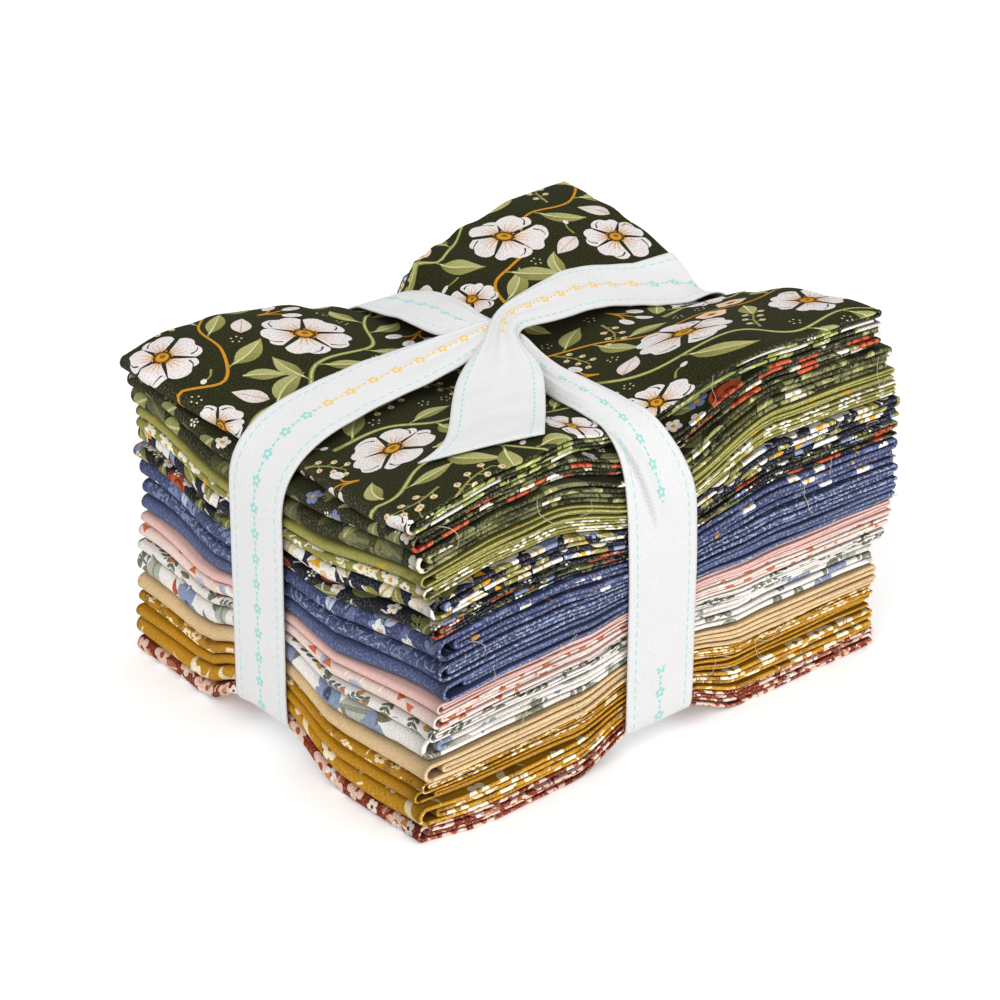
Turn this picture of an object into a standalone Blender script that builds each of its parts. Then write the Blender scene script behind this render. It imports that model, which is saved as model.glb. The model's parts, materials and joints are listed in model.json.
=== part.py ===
"""Fat quarter bundle: nineteen folded cotton fat quarters in a stack, tied crosswise with twill ribbon.

Metres, +Z up. X runs along the long side, where the ends of the layers show, and Y along the short
side, where each fat quarter shows one rounded fold. The origin is under the middle of the bundle, on
the surface that it stands on. Each fat quarter is one strip of cloth, folded to and fro into four
layers, and every layer follows the stack's own hills and the valleys that the ribbon pulls into it.
"""

import math
from collections import namedtuple

import bmesh
import bpy
from mathutils import Vector
from mathutils.geometry import convex_hull_2d

# The stack, before its fat quarters slip out of line.
WIDTH = 0.142
DEPTH = 0.114
CORNER_TOP = {"left": 0.081, "front": 0.081, "right": 0.0925, "back": 0.091}
CROWN = 0.003

# The ribbon and the valleys that it pulls into the top, the underside and the sides.
RIBBON_WIDTH = 0.0205
RIBBON_THICK = 0.001
RIBBON_CLEAR = 0.00035
CROSSING_STEP = 0.00015
FLAT_UNDER_RIBBON = 0.011
VALLEY_START = 0.008
VALLEY_END = {"x": 0.036, "y": 0.050}
LIFT_END = {"x": 0.028, "y": 0.032}
VALLEY_MIDDLE = 0.008
VALLEY_AT_FOLDS = 0.0065
VALLEY_AT_LAYER_ENDS = 0.0135
VALLEY_AT_RAW_EDGES = 0.0125
LIFT_MIDDLE = 0.0028
LIFT_AT_FOLDS = 0.0085
LIFT_AT_LAYER_ENDS = 0.006

# The stack's top edges are rounded by this much where the ribbon bends over them.
TUCK = {"folds": 0.011, "raw": 0.012, "front": 0.018, "back": 0.016}

# Where every layer bends, so that neighbours stay parallel.
BENDS_X = (-WIDTH / 2, -0.028, -FLAT_UNDER_RIBBON, FLAT_UNDER_RIBBON, 0.028, WIDTH / 2)
BENDS_Y = (-DEPTH / 2, -0.032, -FLAT_UNDER_RIBBON, FLAT_UNDER_RIBBON, 0.032, DEPTH / 2)

# One fat quarter: four layers and the gaps between them, as shares of its thickness.
LAYER = 0.225
SLIT = (1 - 4 * LAYER) / 3
BETWEEN = 0.00034
OUTER_FOLD_ANGLES = (45, 90, 135)
INNER_FOLD_ANGLES = (60, 120)
RAW_EDGE_SET_BACK = {"lowest": 0.0, "inner": 0.0018, "fold": 0.0006}

# From the bottom up. bulk is a fat quarter's share of the height. slide is how far it slipped along
# +X, and out how far along -Y, both in metres.
FatQuarter = namedtuple("FatQuarter", "name colour bulk slide out")
FAT_QUARTERS = (
    FatQuarter("fq19_rust_blossom", (0.25, 0.030, 0.008), 1.05, 0.0010, 0.0000),
    FatQuarter("fq18_mustard_blossom", (0.48, 0.30, 0.03), 1.20, 0.0000, 0.0010),
    FatQuarter("fq17_mustard_plain", (0.53, 0.31, 0.01), 0.80, 0.0000, -0.0005),
    FatQuarter("fq16_mustard_sprigs", (0.56, 0.33, 0.05), 0.75, 0.0010, 0.0005),
    FatQuarter("fq15_tan_plain", (0.62, 0.44, 0.21), 1.15, 0.0010, 0.0020),
    FatQuarter("fq14_white_bouquet", (0.80, 0.78, 0.74), 1.45, 0.0010, 0.0010),
    FatQuarter("fq13_white_sprigs", (0.83, 0.81, 0.77), 0.70, 0.0015, 0.0030),
    FatQuarter("fq12_blush_petals", (0.82, 0.66, 0.60), 0.85, 0.0025, 0.0035),
    FatQuarter("fq11_pink_plain", (0.74, 0.46, 0.41), 0.70, 0.0030, 0.0040),
    FatQuarter("fq10_blue_plain", (0.070, 0.105, 0.28), 1.00, 0.0040, 0.0045),
    FatQuarter("fq09_blue_flecks", (0.12, 0.16, 0.34), 0.95, 0.0040, 0.0040),
    FatQuarter("fq08_blue_sprigs", (0.08, 0.12, 0.30), 1.35, 0.0040, 0.0035),
    FatQuarter("fq07_black_roses", (0.012, 0.014, 0.025), 0.85, 0.0030, 0.0025),
    FatQuarter("fq06_navy_blossom", (0.016, 0.025, 0.080), 1.20, 0.0035, 0.0020),
    FatQuarter("fq05_olive_blossom", (0.36, 0.37, 0.11), 0.75, 0.0025, 0.0005),
    FatQuarter("fq04_olive_specks", (0.27, 0.31, 0.07), 0.75, 0.0020, 0.0005),
    FatQuarter("fq03_green_leaves", (0.030, 0.038, 0.016), 1.30, 0.0010, 0.0005),
    FatQuarter("fq02_green_roses", (0.035, 0.042, 0.020), 1.05, 0.0000, 0.0000),
    FatQuarter("fq01_green_bloom", (0.022, 0.026, 0.010), 0.90, -0.0010, 0.0000),
)
RIBBON_COLOUR = (0.87, 0.87, 0.88)
SLIP_LEFT_UNDER_RIBBON = 0.15

# The knot, and the one free end, which lies over the front quarter of the top.
KNOT_LONG = 0.019
KNOT_BROAD = 0.015
KNOT_HIGH = 0.0058
KNOT_TURN = math.radians(-38)
TAIL_LENGTH = 0.057
TAIL_TURN = math.radians(-130)
TAIL_ROOT_WIDTH = 0.010
TAIL_SLANT = 0.010
TAIL_CLEAR = 0.0007
TAIL_ROOT_LIFT = 0.0030
TAIL_STEPS = 6
TAIL_NEAR = 0.004
KNOT_SIDES = 14
KNOT_RINGS = 8

# A ribbon loop's outline has a side for each long face of the stack and one for each turn this large.
LOOP_TURN = math.radians(15)
LONG_FACE = 0.006
LEAST_TURN = math.radians(4)


def fall(distance, start, end):
    """1 up to start, 0 from end on, and a soft slope between."""
    share = min(max((distance - start) / (end - start), 0.0), 1.0)
    return 1 - share * share * (3 - 2 * share)


def between(low, middle, high, share):
    """The curve through three depths, at share -1, 0 and 1."""
    return middle + share * (high - low) / 2 + share * share * ((high + low) / 2 - middle)


def joined(a, b, largest):
    """Two pulls on one place, which together stay near the larger."""
    return a + b - a * b / largest


def top_height(x, y):
    u = x / (WIDTH / 2)
    v = y / (DEPTH / 2)
    near = CORNER_TOP["front"] * (1 - u) / 2 + CORNER_TOP["right"] * (1 + u) / 2
    far = CORNER_TOP["left"] * (1 - u) / 2 + CORNER_TOP["back"] * (1 + u) / 2
    hill = near * (1 - v) / 2 + far * (1 + v) / 2 + CROWN * (1 - u * u)
    along_x = between(VALLEY_AT_FOLDS, VALLEY_MIDDLE, VALLEY_AT_RAW_EDGES, u)
    along_x *= fall(abs(y), VALLEY_START, VALLEY_END["y"])
    along_y = between(VALLEY_AT_LAYER_ENDS, VALLEY_MIDDLE, VALLEY_AT_LAYER_ENDS, v)
    along_y *= fall(abs(x), VALLEY_START, VALLEY_END["x"])
    return hill - joined(along_x, along_y, VALLEY_AT_LAYER_ENDS)


def bottom_height(x, y):
    """Zero under the four quarters of the stack, which it rests on, and lifted over the ribbon."""
    u = x / (WIDTH / 2)
    v = y / (DEPTH / 2)
    along_x = between(LIFT_AT_FOLDS, LIFT_MIDDLE, LIFT_AT_FOLDS, u)
    along_x *= fall(abs(y), VALLEY_START, LIFT_END["y"])
    along_y = between(LIFT_AT_LAYER_ENDS, LIFT_MIDDLE, LIFT_AT_LAYER_ENDS, v)
    along_y *= fall(abs(x), VALLEY_START, LIFT_END["x"])
    return joined(along_x, along_y, LIFT_AT_FOLDS)


def stretch(value, bends):
    """The two bends that a place lies between, or the outermost two beyond them, and its share of the way."""
    last = len(bends) - 2
    first = next((k for k in range(last) if value < bends[k + 1]), last)
    low, high = bends[first], bends[first + 1]
    return low, high, (value - low) / (high - low)


def creased(height, x, y):
    """A height read at the bends and joined straight, so that neighbouring layers stay parallel."""
    x0, x1, s = stretch(x, BENDS_X)
    y0, y1, t = stretch(y, BENDS_Y)
    near = height(x0, y0) * (1 - s) + height(x1, y0) * s
    far = height(x0, y1) * (1 - s) + height(x1, y1) * s
    return near * (1 - t) + far * t


def pinch(distance, axis):
    return fall(distance, VALLEY_START, VALLEY_END[axis])


def tuck(radius, below_top):
    """How far an edge this far below the top is pulled in by a rounded edge of this radius."""
    rise = max(radius - below_top, 0.0)
    return radius - math.sqrt(radius * radius - rise * rise)


class Place:
    """Where one fat quarter lies: its surfaces and its four sides."""

    def __init__(self, row, low, high):
        self.row = row
        self.low = low
        self.high = high
        self.below_top = (1 - (low + high) / 2) * CORNER_TOP["left"]

    def surface(self, x, y, share):
        """The height at a share of this fat quarter's thickness."""
        bottom = creased(bottom_height, x, y)
        rise = creased(top_height, x, y) - bottom
        low = bottom + rise * self.low + (BETWEEN / 2 if self.low > 0 else 0)
        high = bottom + rise * self.high - (BETWEEN / 2 if self.high < 1 else 0)
        return low + (high - low) * share

    def slip(self, distance, axis, amount):
        return amount * (1 - (1 - SLIP_LEFT_UNDER_RIBBON) * pinch(distance, axis))

    def folds_x(self, y):
        pulled = tuck(TUCK["folds"], self.below_top) * pinch(abs(y), "y")
        return -WIDTH / 2 + self.slip(abs(y), "y", self.row.slide) + pulled

    def raw_x(self, y):
        pulled = tuck(TUCK["raw"], self.below_top) * pinch(abs(y), "y")
        return WIDTH / 2 + self.slip(abs(y), "y", self.row.slide) - pulled

    def front_y(self, x):
        pulled = tuck(TUCK["front"], self.below_top) * pinch(abs(x), "x")
        return -DEPTH / 2 - self.slip(abs(x), "x", self.row.out) + pulled

    def back_y(self, x):
        pulled = tuck(TUCK["back"], self.below_top) * pinch(abs(x), "x")
        return DEPTH / 2 - self.slip(abs(x), "x", self.row.out) - pulled


def fold_points(centre_x, centre_z, radius, side, angles):
    """Points of a fold that leaves the lower layer and comes back on the upper one."""
    points = []
    for degrees in angles:
        angle = math.radians(degrees)
        points.append((centre_x + side * radius * math.sin(angle), centre_z - radius * math.cos(angle)))
    return points


def section(place, y):
    """The strip's two faces in one slice: outer and inner points, as (x, z), and the pairs across the cloth.

    The strip starts as the lowest layer's raw edge, goes round the outer fold to the top layer, back
    through a fold at the raw side to the layer below it, and round the inner fold to its other end.
    """
    step = LAYER + SLIT
    left = place.folds_x(y)
    right = place.raw_x(y)
    middle = place.surface(left, y, 0.5)
    thick = place.surface(left, y, 1.0) - place.surface(left, y, 0.0)
    fold_x = left + thick / 2
    thick_right = place.surface(right, y, 1.0) - place.surface(right, y, 0.0)
    bight_radius = thick_right * (LAYER + SLIT / 2)
    bight_x = right - RAW_EDGE_SET_BACK["fold"] - bight_radius
    bight_z = place.surface(bight_x, y, 1 - LAYER - SLIT / 2)
    inside = list(BENDS_X[1:-1])

    def run(layer, face, end_x, towards_fold):
        share = layer * step + (LAYER if face == "top" else 0)
        stops = [fold_x] + inside + [end_x]
        if towards_fold:
            stops.reverse()
        return [(x, place.surface(x, y, share)) for x in stops]

    lowest_x = right - RAW_EDGE_SET_BACK["lowest"]
    inner_x = right - RAW_EDGE_SET_BACK["inner"]
    outer, inner, pairs = [], [], []

    def lay(outer_points, inner_points):
        """Adds points to both faces. A face with none keeps its last point for the pairs."""
        for k in range(max(len(outer_points), len(inner_points))):
            if k < len(outer_points):
                outer.append(outer_points[k])
            if k < len(inner_points):
                inner.append(inner_points[k])
            pairs.append((len(outer) - 1, len(inner) - 1))

    lay(run(0, "bottom", lowest_x, True), run(0, "top", lowest_x, True))
    lay(
        fold_points(fold_x, middle, thick / 2, -1, OUTER_FOLD_ANGLES),
        fold_points(fold_x, middle, thick * (0.5 - LAYER), -1, OUTER_FOLD_ANGLES),
    )
    lay(run(3, "top", bight_x, False), run(3, "bottom", bight_x, False))
    lay(fold_points(bight_x, bight_z, bight_radius, 1, INNER_FOLD_ANGLES[::-1]), [])
    lay(run(2, "bottom", bight_x, True), run(2, "top", bight_x, True))
    lay([], fold_points(fold_x, middle, thick * (LAYER + SLIT / 2), -1, OUTER_FOLD_ANGLES[::-1]))
    lay(run(1, "top", inner_x, False), run(1, "bottom", inner_x, False))
    return outer, inner, pairs


def fat_quarter_mesh(place):
    """The strip's slices along Y, skinned, with its cut ends filled across the cloth."""
    mesh = bmesh.new()
    slices = []
    for k, y in enumerate(BENDS_Y):
        outer, inner, pairs = section(place, y)
        rim = outer + inner[::-1]
        verts = []
        for x, z in rim:
            cut_y = cut_edge_y(place, k, x)
            verts.append(mesh.verts.new((x, cut_y, carried(x, z, y, cut_y))))
        slices.append(verts)
    for near, far in zip(slices, slices[1:]):
        for a in range(len(near)):
            b = (a + 1) % len(near)
            # Neighbours' long triangles lean the same way, whichever way the strip runs.
            if near[b].co.x >= near[a].co.x:
                mesh.faces.new((near[a], near[b], far[b]))
                mesh.faces.new((near[a], far[b], far[a]))
            else:
                mesh.faces.new((near[b], far[b], far[a]))
                mesh.faces.new((near[b], far[a], near[a]))
    for verts in (slices[0], slices[-1]):
        fill_end(mesh, verts, len(outer), pairs)
    bmesh.ops.recalc_face_normals(mesh, faces=mesh.faces)
    return mesh


def cut_edge_y(place, k, x):
    """Where slice k lies at x: on its bend, or on the cut edge for the first and the last slice."""
    if k == 0:
        return place.front_y(x)
    if k == len(BENDS_Y) - 1:
        return place.back_y(x)
    return BENDS_Y[k]


def carried(x, z, slice_y, y):
    """A slice's height, carried along the stack's slope from the slice to y."""
    bottom = creased(bottom_height, x, slice_y)
    share = (z - bottom) / (creased(top_height, x, slice_y) - bottom)
    bottom_there = creased(bottom_height, x, y)
    return bottom_there + share * (creased(top_height, x, y) - bottom_there)


def fill_end(mesh, verts, outer_count, pairs):
    """Fills a cut end with a ladder of faces between the cloth's two faces."""
    last = len(verts) - 1
    for (a, b), (c, d) in zip(pairs, pairs[1:]):
        corners = [verts[a], verts[c], verts[last - d], verts[last - b]]
        distinct = []
        for corner in corners:
            if corner not in distinct:
                distinct.append(corner)
        mesh.faces.new(distinct)


def support_sides(points):
    """The directions of a taut loop's sides: the long faces of the points' hull, and even turns between."""
    hull = [points[k] for k in convex_hull_2d(points)]
    angles = []
    for a, b in zip(hull, hull[1:] + hull[:1]):
        along = b - a
        if along.length > LONG_FACE:
            angles.append(math.atan2(-along.x, along.y))
    for k in range(round(2 * math.pi / LOOP_TURN)):
        angle = k * LOOP_TURN - math.pi
        if all(abs(math.remainder(angle - other, 2 * math.pi)) > LEAST_TURN for other in angles):
            angles.append(angle)
    return sorted(math.remainder(angle, 2 * math.pi) for angle in angles)


def taut_outline(points, angles, clear):
    """The outline that lies this far outside all the points, with a side in each direction."""
    sides = []
    for angle in angles:
        normal = Vector((math.cos(angle), math.sin(angle)))
        sides.append((normal, max(normal.dot(point) for point in points) + clear))
    outline = []
    for (n, reach), (m, other) in zip(sides, sides[1:] + sides[:1]):
        cross = n.x * m.y - n.y * m.x
        outline.append(Vector(((reach * m.y - other * n.y) / cross, (n.x * other - m.x * reach) / cross)))
    return outline


def loop_mesh(points, clear, to_world):
    """A closed band of ribbon round the points of one slice through the stack."""
    points = [Vector(point) for point in points]
    angles = support_sides([Vector((p.x, p.y)) for p in points])
    inner = taut_outline(points, angles, clear)
    outer = taut_outline(points, angles, clear + RIBBON_THICK)
    mesh = bmesh.new()
    rings = []
    for side in (-RIBBON_WIDTH / 2, RIBBON_WIDTH / 2):
        for outline in (inner, outer):
            rings.append([mesh.verts.new(to_world(point, side)) for point in outline])
    around = (rings[0], rings[1], rings[3], rings[2])
    for a, b in zip(around, around[1:] + around[:1]):
        for k in range(len(a)):
            n = (k + 1) % len(a)
            mesh.faces.new((a[k], a[n], b[n], b[k]))
    bmesh.ops.recalc_face_normals(mesh, faces=mesh.faces)
    return mesh


def knot_mesh(base_z):
    """The knot's wrap, as a low rounded pad with a flat underside."""
    mesh = bmesh.new()
    bmesh.ops.create_uvsphere(mesh, u_segments=KNOT_SIDES, v_segments=KNOT_RINGS, radius=1.0)
    whole = mesh.verts[:] + mesh.edges[:] + mesh.faces[:]
    bmesh.ops.bisect_plane(mesh, geom=whole, plane_co=(0, 0, 0), plane_no=(0, 0, -1), clear_outer=True)
    bmesh.ops.contextual_create(mesh, geom=[edge for edge in mesh.edges if edge.is_boundary])
    for vert in mesh.verts:
        x = vert.co.x * KNOT_LONG / 2
        y = vert.co.y * KNOT_BROAD / 2
        z = base_z + vert.co.z * KNOT_HIGH
        vert.co = (
            x * math.cos(KNOT_TURN) - y * math.sin(KNOT_TURN),
            x * math.sin(KNOT_TURN) + y * math.cos(KNOT_TURN),
            z,
        )
    bmesh.ops.recalc_face_normals(mesh, faces=mesh.faces)
    return mesh


def tail_mesh(root_z):
    """The free end: narrow at the knot, full width further on, cut on the slant, lying along the top."""
    mesh = bmesh.new()
    along = Vector((math.cos(TAIL_TURN), math.sin(TAIL_TURN)))
    across = Vector((-along.y, along.x))
    rings = []
    for k in range(TAIL_STEPS + 1):
        share = k / TAIL_STEPS
        half = (TAIL_ROOT_WIDTH + (RIBBON_WIDTH - TAIL_ROOT_WIDTH) * min(2 * share, 1)) / 2
        ring = []
        for side in (-1, 0, 1):
            reach = TAIL_LENGTH * share - side * TAIL_SLANT / 2 * share
            place = along * reach + across * (side * half)
            lying = top_under(place) + TAIL_CLEAR
            z = lying + (max(root_z - lying, 0) + TAIL_ROOT_LIFT) * (1 - share) ** 2
            ring.append((place, z))
        rings.append(
            [mesh.verts.new((p.x, p.y, z)) for p, z in ring]
            + [mesh.verts.new((p.x, p.y, z + RIBBON_THICK)) for p, z in reversed(ring)]
        )
    for near, far in zip(rings, rings[1:]):
        for a in range(len(near)):
            b = (a + 1) % len(near)
            mesh.faces.new((near[a], near[b], far[b], far[a]))
    mesh.faces.new(rings[0])
    mesh.faces.new(rings[-1])
    bmesh.ops.recalc_face_normals(mesh, faces=mesh.faces)
    return mesh


def top_under(place):
    """The highest that the top reaches near a place."""
    steps = (-TAIL_NEAR, 0, TAIL_NEAR)
    spots = [(dx, dy) for dx in steps for dy in steps]
    return max(creased(top_height, place.x + dx, place.y + dy) for dx, dy in spots)


def material(name, colour, roughness):
    made = bpy.data.materials.new(name)
    made.use_nodes = True
    shader = made.node_tree.nodes["Principled BSDF"]
    shader.inputs["Base Color"].default_value = (*colour, 1)
    shader.inputs["Roughness"].default_value = roughness
    shader.inputs["Metallic"].default_value = 0
    made.diffuse_color = (*colour, 1)
    return made


def add_object(name, mesh, colour, roughness=0.9):
    data = bpy.data.meshes.new(name)
    mesh.to_mesh(data)
    mesh.free()
    data.materials.append(material(name, colour, roughness))
    made = bpy.data.objects.new(name, data)
    bpy.context.scene.collection.objects.link(made)
    return made


def places():
    """Each fat quarter's place in the stack, bottom first."""
    total = sum(row.bulk for row in FAT_QUARTERS)
    found, low = [], 0.0
    for row in FAT_QUARTERS:
        high = low + row.bulk / total
        found.append(Place(row, low, 1.0 if row is FAT_QUARTERS[-1] else high))
        low = high
    return found


def fuse(target, helper):
    """Joins a helper's shape to the target, and takes the helper away."""
    modifier = target.modifiers.new("with_" + helper.name, "BOOLEAN")
    modifier.operation = "UNION"
    modifier.solver = "EXACT"
    modifier.object = helper
    graph = bpy.context.evaluated_depsgraph_get()
    joined_mesh = bpy.data.meshes.new_from_object(target.evaluated_get(graph))
    target.modifiers.clear()
    target.data = joined_mesh
    bpy.data.objects.remove(helper)


def ribbon(stack):
    """One ribbon: a loop each way round the stack, the knot on top and its one free end."""
    reach = FLAT_UNDER_RIBBON + RIBBON_CLEAR
    corners = [vert.co for made in stack for vert in made.data.vertices]
    under_long = [(p.x, p.z) for p in corners if abs(p.y) < reach]
    under_short = [(p.y, p.z) for p in corners if abs(p.x) < reach]
    long_loop = loop_mesh(under_long, RIBBON_CLEAR, lambda p, side: (p.x, side, p.y))
    short_loop = loop_mesh(under_short, RIBBON_CLEAR + CROSSING_STEP, lambda p, side: (side, p.x, p.y))
    crossing = max(vert.co.z for vert in long_loop.verts)
    made = add_object("ribbon", long_loop, RIBBON_COLOUR)
    crossing_top = max(creased(top_height, x, y) for x in BENDS_X[2:4] for y in BENDS_Y[2:4])
    knot_base = max(crossing - RIBBON_THICK / 2, crossing_top + RIBBON_CLEAR)
    fuse(made, add_object("short_loop", short_loop, RIBBON_COLOUR))
    fuse(made, add_object("knot", knot_mesh(knot_base), RIBBON_COLOUR))
    fuse(made, add_object("tail", tail_mesh(knot_base), RIBBON_COLOUR))
    return made


def centre(objects):
    """Puts the origin under the middle of everything, on the surface that the bundle stands on."""
    corners = [vert.co for made in objects for vert in made.data.vertices]
    low = [min(corner[axis] for corner in corners) for axis in range(3)]
    high = [max(corner[axis] for corner in corners) for axis in range(3)]
    middle = Vector(((low[0] + high[0]) / 2, (low[1] + high[1]) / 2, low[2]))
    for made in objects:
        for vert in made.data.vertices:
            vert.co -= middle


def main():
    for existing in list(bpy.data.objects):
        bpy.data.objects.remove(existing)
    stack = []
    for place in places():
        stack.append(add_object(place.row.name, fat_quarter_mesh(place), place.row.colour))
    centre(stack + [ribbon(stack)])


main()
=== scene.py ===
"""Dresses the fat quarter bundle: folded printed cotton, a tied twill ribbon, soft studio light.

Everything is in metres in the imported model's own frame. Each fat quarter is its whole sheet of cloth,
folded in four along its width and then in four along its length, so sixteen layers lie in the space
of the CAD node that it replaces.
"""

import json
import math
import random

import bmesh
import bpy
import numpy as np
from mathutils import Matrix, Vector
from mathutils.geometry import convex_hull_2d, delaunay_2d_cdt

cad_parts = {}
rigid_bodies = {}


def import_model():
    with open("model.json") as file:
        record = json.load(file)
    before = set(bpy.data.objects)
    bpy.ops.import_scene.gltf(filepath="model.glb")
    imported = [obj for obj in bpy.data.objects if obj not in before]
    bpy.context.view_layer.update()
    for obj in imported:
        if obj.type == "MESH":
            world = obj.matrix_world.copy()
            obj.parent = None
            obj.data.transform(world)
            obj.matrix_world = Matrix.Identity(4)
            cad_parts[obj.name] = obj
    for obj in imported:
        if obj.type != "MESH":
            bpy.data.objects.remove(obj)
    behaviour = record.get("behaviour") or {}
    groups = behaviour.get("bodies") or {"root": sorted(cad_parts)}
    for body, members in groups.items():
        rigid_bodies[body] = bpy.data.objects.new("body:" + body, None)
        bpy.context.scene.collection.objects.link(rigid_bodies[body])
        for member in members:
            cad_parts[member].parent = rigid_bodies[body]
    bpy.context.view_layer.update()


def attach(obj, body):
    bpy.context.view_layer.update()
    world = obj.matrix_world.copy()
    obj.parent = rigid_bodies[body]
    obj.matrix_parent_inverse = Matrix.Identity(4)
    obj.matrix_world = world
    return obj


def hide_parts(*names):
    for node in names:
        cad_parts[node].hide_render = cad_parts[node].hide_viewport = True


for existing in list(bpy.data.objects):
    bpy.data.objects.remove(existing)
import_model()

# The stack, as in the part's source. The row frame's origin is this far from the stack's own.
SHIFT = (-0.00131, 0.00145, 0.0)
WIDTH = 0.142
DEPTH = 0.114
CORNER_TOP = {"left": 0.081, "front": 0.081, "right": 0.0925, "back": 0.091}
CROWN = 0.003
RIBBON_WIDTH = 0.0205
VALLEY_START = 0.008
VALLEY_END = {"x": 0.036, "y": 0.050}
LIFT_END = {"x": 0.026, "y": 0.028}
VALLEY_MIDDLE = 0.008
VALLEY_AT_FOLDS = 0.0065
VALLEY_AT_LAYER_ENDS = 0.0135
VALLEY_AT_RAW_EDGES = 0.0125
LIFT_MIDDLE = 0.0028
LIFT_AT_FOLDS = 0.0085
LIFT_AT_LAYER_ENDS = 0.006
# The lowest packets' front corner is rounded in plan.
CORNER_ROUND = {"left": 0.0018, "front": 0.0038}
CORNER_ROUND_REACH = 0.011
FRONT_FLARE = 0.0020
# Each side's distance from the middle, the axis that it runs along, and its direction; and how far
# its rounded upper edge reaches.
SIDES = {
    "folds": (WIDTH / 2, "y", -1),
    "raw": (WIDTH / 2, "y", 1),
    "front": (DEPTH / 2, "x", -1),
    "back": (DEPTH / 2, "x", 1),
}
TUCK = {"folds": 0.011, "raw": 0.006, "front": 0.018, "back": 0.012}

# How the real top differs from that: places along each side, and heights, both in millimetres.
TRIM_REACH = 0.024
TOP_TRIM = {
    "folds": ((-56, -1.6), (-43, -2.6), (-29, -2.0), (-14, -1.0), (6, -1.0), (37, -0.5), (57, -0.6)),
    "raw": (
        (-57, -1.8), (-44, -1.6), (-25, 2.8), (-12, 2.0), (-6, -2.0), (1, -2.4), (14, 3.9), (23, 4.8),
        (34, 2.6), (44, 0.4), (57, 1.0),
    ),
    "front": ((-70, 0.7), (-52, 0.8), (-36, -0.5), (-18, 2.0), (0, 0.0), (19, 2.4), (39, -0.6), (64, 0.4)),
    "back": (
        (-71, 0.2), (-61, 0.8), (-47, -1.0), (-33, -3.8), (-20, 0.4), (-12, 2.6), (-6, 0.0), (7.4, -0.8),
        (13.2, 6.4), (18, 4.4), (28, -1.2), (36, -2.6), (49, 0.2), (71, 0.6),
    ),
}

# A packet's layers and slits, as shares of its height; the gap between packets; the share of its slide
# that a packet keeps under the ribbon; and the lowest height of any cloth.
LAYER = 0.225
SLIT = (1 - 4 * LAYER) / 3
BETWEEN = 0.00034
SLIP_LEFT_UNDER_RIBBON = 0.15
LOWEST = 0.00001

# The cut sheet, and its folds. Levels are in quarters of a layer's thickness.
SHEET_WIDTH = 0.457
SHEET_LENGTH = 0.559
OUTER_LEVEL = 1.85
INNER_LEVEL = 0.6
MIDDLE_LEVEL = (OUTER_LEVEL + INNER_LEVEL) / 2
HALF_LEVEL = (OUTER_LEVEL - INNER_LEVEL) / 2
RAW_SET_BACK = 0.0012
UPPER_RAW_SET_BACK = 1.6
RAW_SIDE_IN = 0.0006
BACK_SIDE_IN = 0.0007
INNER_EDGE_IN = 0.0003
LAST_CUT_IN = 0.0006
BIGHT_IN = 0.0009
CORNER_REACH = 0.020
GIVE_REACH = 0.006

# For each run and fold across the width: where it starts and how far it goes, as shares of the
# depth, its level, and how far its level and its depth swing round a fold.
ACROSS = np.array((
    (1, -1, -OUTER_LEVEL, 0, 0),
    (0, 0, 0, -OUTER_LEVEL, -OUTER_LEVEL),
    (0, 1, OUTER_LEVEL, 0, 0),
    (1, 0, MIDDLE_LEVEL, HALF_LEVEL, HALF_LEVEL),
    (1, -1, INNER_LEVEL, 0, 0),
    (0, 0, 0, INNER_LEVEL, -INNER_LEVEL),
    (0, 1, -INNER_LEVEL, 0, 0),
))
# For each run along the length: which layer it is, and which way is out.
RUNS = np.array(((0, -1), (3, 1), (2, -1), (1, 1)))
# For each fold along the length: its radius, the sign of its level, its centre's height, and the
# way that it bulges and turns.
ARCS = np.array((
    (0.5 - LAYER / 2, 1, 0.5, -1, -1),
    ((LAYER + SLIT) / 2, 1, LAYER * 3 + SLIT * 2.5, 1, 1),
    ((LAYER + SLIT) / 2, -1, LAYER * 2 + SLIT * 1.5, -1, 1),
))
# How each edge wanders: its seed, the length of its waves, its amount, and how many waves it has. The
# amounts are in metres, except that the raw edges' are shares of RAW_SET_BACK, give's is a share of
# the packet's height and ridge light's is a share of the light.
WANDER = {
    "left": (700, 0.06, 0.00035, 4),
    "right": (720, 0.05, 0.0005, 4),
    "lower raw": (740, 0.06, 0.5, 4),
    "upper raw": (760, 0.07, 0.6, 4),
    "front": (800, 0.17, 0.00055, 5),
    "front, fine": (820, 0.030, 0.00013, 4),
    "back": (840, 0.17, 0.0007, 5),
    "first cut": (860, 0.05, 0.0006, 4),
    "last cut": (880, 0.05, 0.0006, 4),
    "give": (900, 0.06, 0.018, 4),
    "ridge light": (950, 0.05, 0.16, 4),
}

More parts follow.
